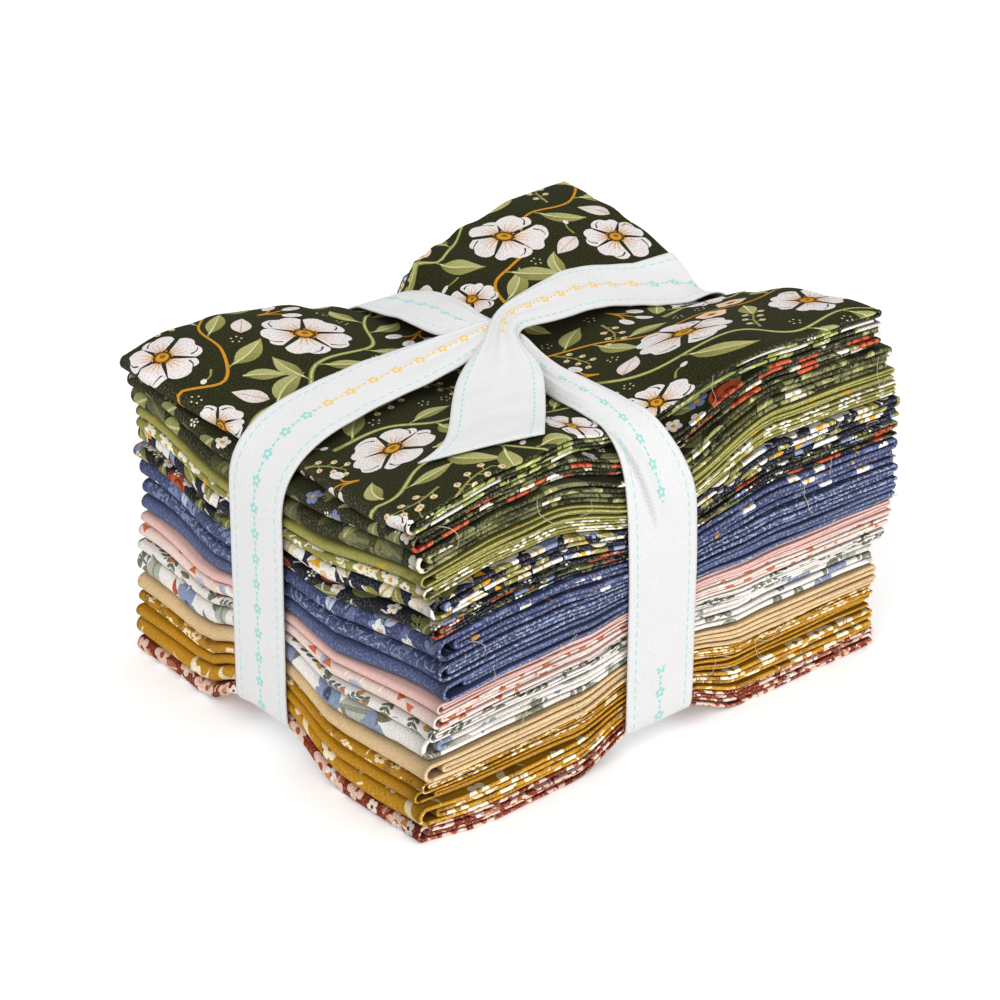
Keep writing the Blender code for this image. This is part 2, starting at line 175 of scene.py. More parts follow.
# From the bottom up: node, material slot, share of the height, and then in millimetres: its slide
# along +X, its front edge's reach along -Y, how far its inner fold sits back from the outer one, how
# far its back left corner is pulled in, and how much shorter it is at its layers' ends.
ROWS = (
    ("fq19_rust_blossom", "rust_floral", 1.05, -0.2, 0.6, 1.2, 0, -3.2),
    ("fq18_mustard_blossom", "mustard_floral", 1.2, -0.2, 1, 3, 0, -3),
    ("fq17_mustard_plain", "mustard_plain", 0.8, 0, -0.5, 4, 0, -2),
    ("fq16_mustard_sprigs", "mustard_small_floral", 0.75, 1, 0.5, 1, 0, -0.5),
    ("fq15_tan_plain", "tan_plain", 1.15, 1, 2, 3.5, 0, 0),
    ("fq14_white_bouquet", "white_large_floral", 1.45, 1, 1, 2, 0, 0),
    ("fq13_white_sprigs", "white_small_floral", 0.7, 1.5, 3, 1, 0, 0),
    ("fq12_blush_petals", "blush_specks", 0.85, 2.5, 3.5, 1.5, 0, 0),
    ("fq11_pink_plain", "pink_plain", 0.7, 3, 4, 1, 0, 0.5),
    ("fq10_blue_plain", "blue_plain", 1, 4, 4.5, 5, 0, 0.7),
    ("fq09_blue_flecks", "blue_flecks", 0.95, 4, 4, 1.5, 0, 0.5),
    ("fq08_blue_sprigs", "blue_sprigs", 1.35, 4, 3.5, 3, 0, 0),
    ("fq07_black_roses", "black_navy_floral", 0.85, 3, 2.5, 1.2, 0, -0.5),
    ("fq06_navy_blossom", "navy_floral", 1.2, 3.5, 2, 2, 0.5, -1.5),
    ("fq05_olive_blossom", "olive_small_floral", 0.75, 2.5, 0.5, 2.5, 2.8, -2.2),
    ("fq04_olive_specks", "olive_specks", 0.75, 2, 0.5, 3, 3, -2),
    ("fq03_green_leaves", "dark_green_leaves", 1.3, 1, 0.5, 1.5, 3, -1),
    ("fq02_green_roses", "dark_green_small_floral", 1.05, 0, 0, 1.5, 4, 0.5),
    ("fq01_green_bloom", "dark_green_large_floral", 0.9, -1, 0, 1.5, 3, 1),
)


def smooth(share):
    return share * share * (3 - 2 * share)


def fall(distance, start, end):
    """1 up to start, 0 from end on, and a soft slope between."""
    return 1 - smooth(np.clip((distance - start) / (end - start), 0, 1))


def bell(distance, reach):
    return np.exp(-((distance / reach) ** 2))


def between(low, middle, high, share):
    """The curve through three depths, at share -1, 0 and 1."""
    return middle + share * (high - low) / 2 + share * share * ((high + low) / 2 - middle)


def joined(a, b, largest):
    return a + b - a * b / largest


def pairs(a, b):
    return np.stack([a.ravel(), b.ravel()], -1)


def cross_of(x, y, depths, ends, largest):
    """The two bands that the ribbon presses in: the first runs along x, the second along y."""
    along_x = between(*depths[0], x / (WIDTH / 2)) * fall(abs(y), VALLEY_START, ends["y"])
    along_y = between(*depths[1], y / (DEPTH / 2)) * fall(abs(x), VALLEY_START, ends["x"])
    return joined(along_x, along_y, largest)


def top_height(x, y):
    u, v = x / (WIDTH / 2), y / (DEPTH / 2)
    near = CORNER_TOP["front"] * (1 - u) / 2 + CORNER_TOP["right"] * (1 + u) / 2
    far = CORNER_TOP["left"] * (1 - u) / 2 + CORNER_TOP["back"] * (1 + u) / 2
    hill = near * (1 - v) / 2 + far * (1 + v) / 2 + CROWN * (1 - u * u)
    depths = (
        (VALLEY_AT_FOLDS, VALLEY_MIDDLE, VALLEY_AT_RAW_EDGES),
        (VALLEY_AT_LAYER_ENDS, VALLEY_MIDDLE, VALLEY_AT_LAYER_ENDS),
    )
    trim = side_trim("folds", y, WIDTH / 2 + x) + side_trim("raw", y, WIDTH / 2 - x)
    trim = trim + side_trim("front", x, DEPTH / 2 + y) + side_trim("back", x, DEPTH / 2 - y)
    return hill - cross_of(x, y, depths, VALLEY_END, VALLEY_AT_LAYER_ENDS) + trim


def side_trim(side, along, inward):
    """A side's own correction to the top, which fades inward from it."""
    places, amounts = np.array(TOP_TRIM[side]).T * 0.001
    k = np.clip(np.searchsorted(places, along) - 1, 0, len(places) - 2)
    share = np.clip((along - places[k]) / (places[k + 1] - places[k]), 0, 1)
    return (amounts[k] + (amounts[k + 1] - amounts[k]) * smooth(share)) * bell(inward, TRIM_REACH)


def bottom_height(x, y):
    depths = (
        (LIFT_AT_FOLDS, LIFT_MIDDLE, LIFT_AT_FOLDS),
        (LIFT_AT_LAYER_ENDS, LIFT_MIDDLE, LIFT_AT_LAYER_ENDS),
    )
    return cross_of(x, y, depths, LIFT_END, LIFT_AT_FOLDS)


def tuck(radius, below_top):
    """How far an edge this far below the top is pulled in by a rounded edge of this radius."""
    rise = max(radius - below_top, 0.0)
    return radius - math.sqrt(radius * radius - rise * rise)


def wobble(seed, at, reach, waves):
    """A smooth line that wanders by about 1 either way, in waves of about this reach."""
    draw = random.Random(seed)
    total = 0.0
    for _ in range(waves):
        length = reach * draw.uniform(0.45, 1.7)
        total = total + np.sin(at * 2 * math.pi / length + draw.uniform(0, 6.3)) * draw.uniform(0.4, 1)
    return total / math.sqrt(waves)


class Packet:
    """One folded fat quarter's place, and the map from its flat sheet to its folded shape.

    A place on the sheet has two coordinates. q runs along the length: whole numbers are the ends of
    its four long runs and three folds, in turn. r runs across the width in the same way.
    """

    FOLD_LENGTH_Q = (0.006, 0.0022, 0.0022)
    FOLD_LENGTH_R = (0.0015, 0.0006, 0.0006)

    def __init__(self, number, low, high):
        self.name, self.slot, _, *rest = ROWS[number]
        self.slide, self.out, self.hollow, self.corner, self.short = (amount * 0.001 for amount in rest)
        self.number = number
        self.low, self.high = low, high
        self.is_top = number == len(ROWS) - 1
        self.below_top = (1 - (low + high) / 2) * CORNER_TOP["left"]
        self.flat_q = self.flat_marks(SHEET_LENGTH, self.FOLD_LENGTH_Q)
        self.flat_r = self.flat_marks(SHEET_WIDTH, self.FOLD_LENGTH_R)

    def flat_marks(self, whole, folds):
        """Where each whole number lies on the flat sheet, in metres."""
        run = (whole - sum(folds)) / 4
        marks = [0.0]
        for k in range(7):
            marks.append(marks[-1] + (folds[k // 2] if k % 2 else run))
        return marks

    def surface(self, x, y, share):
        """The height at this share of the packet's own thickness."""
        bottom = bottom_height(x, y)
        rise = top_height(x, y) - bottom
        low = bottom + rise * self.low + (BETWEEN / 2 if self.low > 0 else 0)
        high = bottom + rise * self.high - (BETWEEN / 2 if self.high < 1 else 0)
        return np.maximum(low + (high - low) * share, LOWEST)

    def thickness(self, x, y):
        return self.surface(x, y, 1.0) - self.surface(x, y, 0.0)

    def side(self, kind, at, amount):
        """Where a side lies, slid out by an amount, and pulled in and held back near the ribbon."""
        end, axis, sign = SIDES[kind]
        near = fall(abs(at), VALLEY_START, VALLEY_END[axis])
        slid = amount * (1 - (1 - SLIP_LEFT_UNDER_RIBBON) * near)
        return sign * (end - tuck(TUCK[kind], self.below_top) * near) + slid

    def wander(self, edge, at):
        seed, reach, amount, waves = WANDER[edge]
        return wobble(seed + self.number, at, reach, waves) * amount

    def place(self, q, r):
        """The folded place of (q, r), as x, y and z in the stack's frame, and its flat place."""
        q, r = np.broadcast_arrays(np.asarray(q, float), np.asarray(r, float))
        u = np.interp(q, range(8), self.flat_q)
        v = np.interp(r, range(8), self.flat_r)
        # Across the width: nested folds at the front, one fold and two cut edges at the back.
        part = np.clip(np.floor(r), 0, 6).astype(int)
        start, way, level, level_swing, depth_swing = np.moveaxis(ACROSS[part], -1, 0)
        across = start + way * (r - part)
        level = level + level_swing * np.cos((r - part) * math.pi)
        push = depth_swing * np.sin((r - part) * math.pi)
        y0 = (across - 0.5) * DEPTH
        spread = (1 - self.low) ** 6
        left = self.side("folds", y0, self.slide) + self.wander("left", y0)
        left = left + spread * CORNER_ROUND["left"] * bell(y0 + DEPTH / 2, CORNER_ROUND_REACH)
        right = self.side("raw", y0, self.slide - self.short) - RAW_SIDE_IN + self.wander("right", y0)
        thick = self.thickness(left, y0)
        fold = left + thick / 2
        inner = fold + self.hollow
        bight = right - BIGHT_IN - thick * (LAYER + SLIT / 2)
        # The cut ends are a little uneven, layer by layer.
        raw_low = right - RAW_SET_BACK * (1 + self.wander("lower raw", v))
        raw_high = right - RAW_SET_BACK * (UPPER_RAW_SET_BACK + self.wander("upper raw", v))
        # Along the length: four runs, of which the first two are joined round the outside.
        stage = np.clip(np.floor(q), 0, 6).astype(int)
        share = q - stage
        run = stage // 2
        ends = [raw_low, fold, bight, inner, raw_high]
        x_run = np.choose(run, [a + (b - a) * share for a, b in zip(ends, ends[1:])])
        is_arc = stage % 2 == 1
        arc = np.where(is_arc, run, 0)
        centre_x = np.choose(arc, ends[1:4])
        x_for_y = np.where(is_arc, centre_x, x_run)
        # Across again, now that x is known.
        thick = self.thickness(x_for_y, y0)
        grain = thick * LAYER / 4
        front = self.side("front", x_for_y, -self.out)
        front = front + (self.wander("front", u) + self.wander("front, fine", u))
        corner = CORNER_ROUND["front"] * bell(x_for_y + WIDTH / 2, CORNER_ROUND_REACH)
        front = front + spread * (corner - FRONT_FLARE * np.clip(-x_for_y / (WIDTH / 2), 0, 1))
        back = self.side("back", x_for_y, 0) + self.wander("back", u) - BACK_SIDE_IN
        back = back - self.corner * np.exp(-(x_for_y + WIDTH / 2) / CORNER_REACH)
        inset = OUTER_LEVEL * grain
        # Each thin layer's own edge is a little short of the fold that wraps it.
        behind = np.where(part > 4, INNER_EDGE_IN, 0.0)
        cut = np.where(part == 0, self.wander("first cut", u), 0.0)
        cut = np.where(part == 6, self.wander("last cut", u) - LAST_CUT_IN, cut)
        y = front + inset + behind + (back - front - 2 * inset - behind + cut) * across + push * grain
        # Heights.
        layer, outside = np.moveaxis(RUNS[run], -1, 0)
        give = self.wander("give", u) * np.exp(-across * DEPTH / GIVE_REACH)
        share_run = LAYER / 2 + layer * (LAYER + SLIT)
        z_run = self.surface(x_run, y, share_run + outside * level * LAYER / 4 + give)
        reach, sign, middle, bulge, rise = np.moveaxis(ARCS[arc], -1, 0)
        radius = thick * reach + sign * level * grain
        x = np.where(is_arc, centre_x + bulge * radius * np.sin(share * math.pi), x_run)
        z_arc = self.surface(centre_x, y, middle + give) + rise * radius * np.cos(share * math.pi)
        return np.stack([x, y, np.where(is_arc, z_arc, z_run)], -1), u, v


def packets():
    total = sum(row[2] for row in ROWS)
    found, low = [], 0.0
    for number, row in enumerate(ROWS):
        high = low + row[2] / total
        found.append(Packet(number, low, 1.0 if number == len(ROWS) - 1 else high))
        low = high
    return found


def stations(run_shares, fold_steps):
    """Marks along a sheet: each run has these shares of its length, and each fold so many steps."""
    marks = []
    for k in range(7):
        if k % 2:
            marks += [k + j / fold_steps[k // 2] for j in range(fold_steps[k // 2])]
        else:
            shares = run_shares if k % 4 == 0 else [1 - s for s in reversed(run_shares)]
            marks += [k + s for s in shares[:-1]]
    return np.array(marks + [7.0])


LONG_SHARES = [0, 0.004, 0.012] + [k / 42 for k in range(1, 42)] + [0.988, 0.996, 1]
LONG_FOLDS = (10, 7, 7)
CROSS_SHARES = [0, 0.01, 0.03] + [0.07 + k * 0.0573 for k in range(16)] + [0.97, 0.99, 1]
CROSS_FOLDS = (8, 5, 6)


def whole_sheet(packet):
    """The sheet's net: its marks each way, its folded points and its flat ones."""
    marks = stations(LONG_SHARES, LONG_FOLDS), stations(CROSS_SHARES, CROSS_FOLDS)
    q, r = np.meshgrid(*marks, indexing="ij")
    points, u, v = packet.place(q, r)
    return q, r, points.reshape(-1, 3), pairs(u, v)


def grid_faces(rows, columns):
    index = np.arange(rows * columns).reshape(rows, columns)
    return np.stack([index[:-1, :-1], index[1:, :-1], index[1:, 1:], index[:-1, 1:]], -1).reshape(-1, 4)


def add_mesh(name, points, faces, maps, materials=(), material_index=None):
    """maps is {UV map name: (point count, 2) array}."""
    data = bpy.data.meshes.new(name)
    data.from_pydata((points + SHIFT).tolist(), [], faces.tolist() if hasattr(faces, "tolist") else faces)
    loops = np.zeros(len(data.loops), np.int32)
    data.loops.foreach_get("vertex_index", loops)
    for key, values in maps.items():
        layer = data.uv_layers.new(name=key, do_init=False)
        layer.uv.foreach_set("vector", values[loops].astype(np.float32).ravel())
    for made in materials:
        data.materials.append(made)
    if material_index is not None:
        data.polygons.foreach_set("material_index", material_index)
    data.shade_smooth()
    made = bpy.data.objects.new(name, data)
    bpy.context.scene.collection.objects.link(made)
    return made


def bend_share(marks):
    """1 at the middle of each fold, and 0 on the runs between."""
    stage = np.floor(marks)
    return np.where(stage % 2 == 1, np.sin((marks - stage) * math.pi), 0)


# How dark the painted shade in a groove is, how bright the painted highlight on a ridge, and how far from
# it the folds count as grooves.
GROOVE_LIGHT = 0.36
RIDGE_LIGHT = 1.42
GROOVE_REACH = 0.004


def add_finish_marks(made, packet, q, r):
    """Two numbers for each point: how rubbed its crease is, which also sets a painted highlight there, and
    how open to the light it lies, which paints shade into grooves and highlight onto ridges.
    """
    # How far a point lies on a fold's crest: the cloth is made paler there, both as rubbed wear and as a
    # painted highlight.
    crease = np.maximum(bend_share(q) * 0.5, bend_share(r))
    # Painted light: shade where the runs meet the folds across the width and at both ends of the outer
    # fold along the length, and an unevenly bright painted highlight on the crests of the folds across the
    # width. The top sheet's upper side gets none.
    part = np.floor(r)
    away = np.where(part % 4 < 2, 1 - (r - part), r - part) * DEPTH
    ridge = RIDGE_LIGHT * np.sin((r - part) * math.pi) ** 0.6
    front = np.where(part % 2 == 0, 1 - np.exp(-away / GROOVE_REACH), ridge)
    stage = np.floor(q)
    left = np.where(stage == 1, np.sin(np.clip(q - stage, 0, 1) * math.pi) ** 0.4, 1)
    if packet.is_top:
        upper = (q > 1.5) & (q < 3.2) & (r > 1.5) & (r < 3.5)
        front = np.where(upper, 1, front)
        left = np.where(q > 1.5, 1, left)
    uneven = 1 + packet.wander("ridge light", q * 0.14 + part * 0.043)
    light = (GROOVE_LIGHT + (1 - GROOVE_LIGHT) * front * left) * np.where(part % 2 == 1, uneven, 1)
    for name, values in (("crease_wear_and_highlight", crease), ("light", light)):
        layer = made.data.attributes.new(name, "FLOAT", "POINT")
        layer.data.foreach_set("value", values.astype(np.float32))


def fat_quarter(packet, material):
    q, r, points, flat = whole_sheet(packet)
    maps = {"cloth": flat, "OFBake": flat / (SHEET_LENGTH, SHEET_WIDTH)}
    made = add_mesh("cloth_" + packet.name, points, grid_faces(*q.shape), maps, [material])
    add_finish_marks(made, packet, q.ravel(), r.ravel())
    return made


def curved(rows, count):
    """count points, evenly along the smooth curve through a few."""
    rows = np.asarray(rows)
    ends = np.vstack([2 * rows[0] - rows[1], rows, 2 * rows[-1] - rows[-2]])
    found = []
    for a, b, c, d in zip(ends, ends[1:], ends[2:], ends[3:]):
        for t in np.linspace(0, 1, 12, endpoint=False):
            bend = (2 * a - 5 * b + 4 * c - d) * t * t + (3 * b - a - 3 * c + d) * t**3
            found.append(b + ((c - a) * t + bend) / 2)
    return evenly(np.array(found + [rows[-1]]), count)


def walked(line):
    return np.concatenate([[0], np.cumsum(np.linalg.norm(np.diff(line, axis=0), axis=1))])


def evenly(line, count):
    """count points, evenly along a line."""
    way = walked(line)
    at = np.linspace(0, way[-1], count)
    return np.stack([np.interp(at, way, axis) for axis in line.T], -1)


def directions(line):
    ahead = np.gradient(line, axis=0)
    return ahead / np.linalg.norm(ahead, axis=1)[:, None]


# The top fat quarter's print: blossoms on winding stems, drawn in millimetres from the middle of the
# top. Places, sizes and proportions are this design's own.
STEMS = (
    ((-80, 2), (-64, 15), (-50, 14), (-40, 22), (-22, 24), (-12, 40), (6, 60)),
    ((-80, 30), (-70, 34), (-60, 30), (-52, 40), (-50, 52), (-40, 62)),
    ((-80, -40), (-66, -46), (-54, -40), (-42, -44), (-34, -56), (-26, -64)),
    ((-62, -12), (-48, -14), (-38, -24), (-26, -26), (-16, -38), (-4, -42), (4, -60)),
    ((6, 8), (16, 16), (22, 30), (36, 34), (46, 46), (62, 46), (76, 60)),
    ((12, 62), (18, 50), (30, 54), (40, 62)),
    ((12, 14), (28, 14), (42, 20), (60, 12), (76, 20)),
    ((6, -10), (20, -14), (30, -22), (46, -20), (56, -28), (76, -24)),
    ((6, -34), (18, -42), (34, -44), (44, -54), (62, -52), (76, -62)),
    ((40, -12), (52, -10), (62, -14), (76, -6)),
)
BLOSSOMS = (
    (-32, 35, 10.8, 0.3), (-64, 47, 9.5, 1.1), (-72, 20, 7.0, 0.1), (-53, -25, 10.5, 0.8),
    (-14, -51, 8.5, 0.2), (37, 43, 11.0, 0.5), (60, 26, 9.0, 1.4), (14, 30, 7.0, 0.9),
    (31, -31, 11.0, 1.0), (62, -40, 10.0, 0.4), (56, -8, 7.0, 0.0), (-76, -56, 8.0, 0.6),
    (10, -54, 8.0, 1.2),
)
PETAL, BLUSH, PEACH, INK = "e2dbd9", "d9bfae", "d3a276", "23231c"
LEAF_DARK, LEAF_LIGHT, LEAF_TIP, RIB = "7a7a3e", "a19f5e", "b4b17a", "d3d09c"
STEM, STEM_LIGHT, AMBER, EYE_RIM, EYE = "8f8d4c", "c3c884", "c98a1e", "8c5d17", "cf9324"


def heading(turn):
    return np.array([math.cos(turn), math.sin(turn)])


class Painting:
    """Shapes on the flat cloth, each over those before it, in one colour or a blend from a centre out."""

    def __init__(self, seed):
        self.shapes = []
        self.taken = []
        self.draw = random.Random(seed)

    def shape(self, points, colour, rim=None, centre=(0, 0), reach=1.0):
        outline = np.asarray(points)
        ahead = np.roll(outline, -1, axis=0)
        if (outline[:, 0] * ahead[:, 1] - outline[:, 1] * ahead[:, 0]).sum() < 0:
            outline = outline[::-1]
        self.shapes.append((outline, linear(colour), linear(rim or colour), centre, reach))

    def take(self, place, size):
        self.taken.append((*place, size))

    def is_free(self, place, size):
        return all(math.hypot(x - place[0], y - place[1]) > size + taken for x, y, taken in self.taken)

    def stroke(self, line, start, end, colour):
        line = np.asarray(line)
        ahead = directions(line)
        side = pairs(-ahead[:, 1], ahead[:, 0]) * np.linspace(start, end, len(line))[:, None] / 2
        self.shape(np.vstack([line - side, (line + side)[::-1]]), colour)

    def round(self, place, size, colour, steps=10, squash=1.0, turn=0.0):
        around = np.arange(steps) * 2 * math.pi / steps
        ring = pairs(np.cos(around) * size, np.sin(around) * size * squash)
        twist = np.array([heading(turn), heading(turn + math.pi / 2)])
        self.shape(ring @ twist + place, colour)

    def leaf(self, base, turn, length, width, bend):
        t = np.linspace(0, 1, 10)
        turns = turn + bend * (t - 0.3)
        steps = pairs(np.cos(turns), np.sin(turns)) * length / 9
        spine = np.vstack([base, base + np.cumsum(steps[1:], axis=0)])
        side = pairs(-np.sin(turns), np.cos(turns))
        half = (np.sin(math.pi * t**0.85) ** 1.25 * width / 2)[:, None]
        left, right = spine + side * half, spine - side * half
        self.shape(np.vstack([right[:-1], left[:0:-1]]), LEAF_DARK, LEAF_LIGHT, base, length)
        self.shape(np.vstack([spine[1:-1], left[-2:0:-1]]), LEAF_LIGHT, LEAF_TIP, base, length)
        self.stroke(spine[:9], 0.55, 0.2, RIB)
        self.take(spine[3], width * 0.42)
        self.take(spine[7], width * 0.36)

    def blossom(self, x, y, size, turn):
        place = np.array([x, y])

        def spot(at, reach):
            return place + heading(at) * reach

        self.take(place, size * 0.93)
        marks = np.linspace(-1, 1, 13)
        for k in range(5):
            at = turn + k * 2 * math.pi / 5 + self.draw.uniform(-0.06, 0.06)
            reach = size * self.draw.uniform(0.9, 1.04)
            notch = 0.10 * bell(marks - self.draw.uniform(-0.3, 0.3), 0.22)
            far = reach * (1 - 0.17 * marks**4 - notch)
            rim = [spot(at + m * 0.60, f) for m, f in zip(marks, far)]
            foot = [spot(at + m, size * 0.3) for m in (0.42, -0.42)]
            self.shape(rim + foot, BLUSH, PETAL, place, size * 0.62)
            for m in (-0.28, 0.02, 0.3):
                streak = [spot(at + m * (0.75 + f * 0.3), size * f) for f in (0.24, 0.42, 0.62)]
                self.stroke(streak, 0.5, 0.12, PEACH)
            edge = self.draw.choice((-1, 1))
            fold = [spot(at + edge * m, reach * f) for m, f in ((0.1, 0.93), (0.3, 0.85), (0.46, 0.7))]
            self.stroke(curved(fold, 7), 0.12, 0.5, INK)
            self.stroke([spot(at + 0.628, size * f) for f in (0.28, 0.45, 0.62)], 0.55, 0.2, INK)
        for k in range(11):
            self.round(spot(k * 0.571 + turn, size * 0.26), size * 0.032, AMBER, 6)
        self.round(place, size * 0.20, EYE_RIM, 14)
        self.round(place, size * 0.165, EYE, 12)
        self.round(place + (size * 0.03, size * 0.02), size * 0.08, EYE_RIM, 8)

    def posy(self, place, turn):
        """A small peach flower with a dark eye."""
        around = np.arange(24) * math.pi / 12
        far = 3.1 + 0.95 * np.abs(np.cos(around * 2.5 + turn)) ** 0.6
        rim = pairs(np.cos(around) * far, np.sin(around) * far)
        self.shape(rim + place, "dcae86", "edcfae", place, 3.6)
        self.round(place, 1.3, "b77f2a", 9)
        self.round(place, 0.75, "33261a", 8)

    def berries(self, place, turn):
        foot = place - heading(turn) * 5
        for spread, reach in ((-0.62, 8.0), (0.0, 9.5), (0.6, 7.5)):
            tip = foot + heading(turn + spread) * reach
            middle = foot + heading(turn + spread * 0.4) * reach * 0.5
            self.stroke(curved([foot, middle, tip], 7), 0.7, 0.45, AMBER)
            self.round(tip, 2.3, PETAL, 14, 0.62, turn + spread)
            ridge = [tip + heading(turn + spread) * along for along in (-1.2, 0.2, 1.3)]
            self.stroke(ridge, 0.25, 0.2, "b3a9a6")

    def buds(self, place, turn):
        ends = heading(turn) * 6
        line = curved([place - ends, place + heading(turn + 1.5) * 0.8, place + ends], 13)
        self.stroke(line, 0.75, 0.3, STEM)
        for k in range(2, 13, 2):
            side = heading(turn + (1 if k % 4 else -1) * 1.0)
            tip = line[k] + side * 2.2
            self.stroke([line[k], line[k] + side * 1.1, tip], 0.35, 0.3, STEM)
            self.round(tip, 0.85, "e2c9a2", 8)
            self.round(tip + side * 0.25, 0.35, "a98345", 6)

    def loose_leaf(self, place, turn):
        self.leaf(place - heading(turn) * 5, turn, 10, 4.4, self.draw.uniform(-0.9, 0.9))

    def pale_leaf(self, place, turn):
        t = np.linspace(0, 1, 9)[:, None]
        half = np.sin(math.pi * t**0.8) * 2.5 * heading(turn + 1.57)
        spine = place + heading(turn) * (t * 9 - 4.5)
        edge, back = spine + half, spine - half
        self.shape(np.vstack([edge[1:], back[-2:0:-1], edge[:1]]), PETAL, BLUSH, place, 6)
        self.stroke([place + heading(turn) * a for a in (-4.2, 0, 3)], 0.35, 0.15, "a79c8e")

    def sprout(self, place, turn):
        """A bent stalk with one bud."""
        ahead = heading(turn)
        line = curved([place - ahead * 2.6, place + heading(turn + 1.57) * 0.7, place + ahead * 2.2], 7)
        self.stroke(line, 0.6, 0.3, STEM)
        self.round(line[-1], 1.0, PETAL, 9, 0.7, turn)

    def dots(self, place, turn):
        for k in range(5):
            self.round(place + heading(turn + k * 1.257) * 1.25, 0.27, "d9d2a6", 6)

    def fill(self, reach_x, reach_y):
        """Puts the largest small motif that fits into each gap that is left."""
        kinds = (
            (5.8, (self.berries, self.buds, self.loose_leaf)),
            (4.1, (self.posy, self.loose_leaf, self.pale_leaf, self.buds)),
            (3.0, (self.dots, self.sprout)),
        )
        for size, choices in kinds:
            step = size * 0.5
            spots = [(i * step - reach_x, j * step - reach_y)
                     for i in range(int(2 * reach_x / step)) for j in range(int(2 * reach_y / step))]
            self.draw.shuffle(spots)
            for spot in spots:
                if self.is_free(spot, size):
                    self.draw.choice(choices)(np.array(spot), self.draw.uniform(0, 6.28))
                    self.take(spot, size)


def bloom_painting():
    art = Painting(41)
    for number, stem in enumerate(STEMS):
        line = curved(stem, max(12, int(walked(np.array(stem))[-1] / 1.6)))
        thick = number % 3 != 1
        art.stroke(line, 1.5 if thick else 0.9, 0.6, STEM if thick else AMBER)
        if thick:
            art.stroke(line[2:-2], 0.5, 0.2, STEM_LIGHT)
        for place in line[::2]:
            art.take(place, 0.9)
    for flower in BLOSSOMS:
        art.take(flower[:2], flower[2] * 0.9)
    for number, stem in enumerate(STEMS):
        line = curved(stem, int(walked(np.array(stem))[-1]))
        for k in range(5, len(line) - 4, 7):
            ahead = line[k + 1] - line[k]
            side = 1 if (k // 7 + number) % 2 else -1
            turn = math.atan2(ahead[1], ahead[0]) + side * art.draw.uniform(0.65, 1.0)
            if art.is_free(line[k] + heading(turn) * 9, 3.0):
                stalk = line[k] + heading(turn) * 2.0
                art.stroke([line[k], (line[k] + stalk) / 2, stalk], 0.6, 0.5, STEM)
                size = art.draw.uniform(10.5, 14.5)
                art.leaf(stalk, turn, size, size * 0.40, -side * art.draw.uniform(0.3, 1.0))
    for flower in BLOSSOMS:
        art.blossom(*flower)
    art.fill(78, 62)
    return art


# The painted patch's grid, its reach in q and in r, and how far its middle lies over the cloth.
TOP_GRID = 0.0018
PATCH = (1.0, 3.5)
PATCH_LIFT = 0.0003


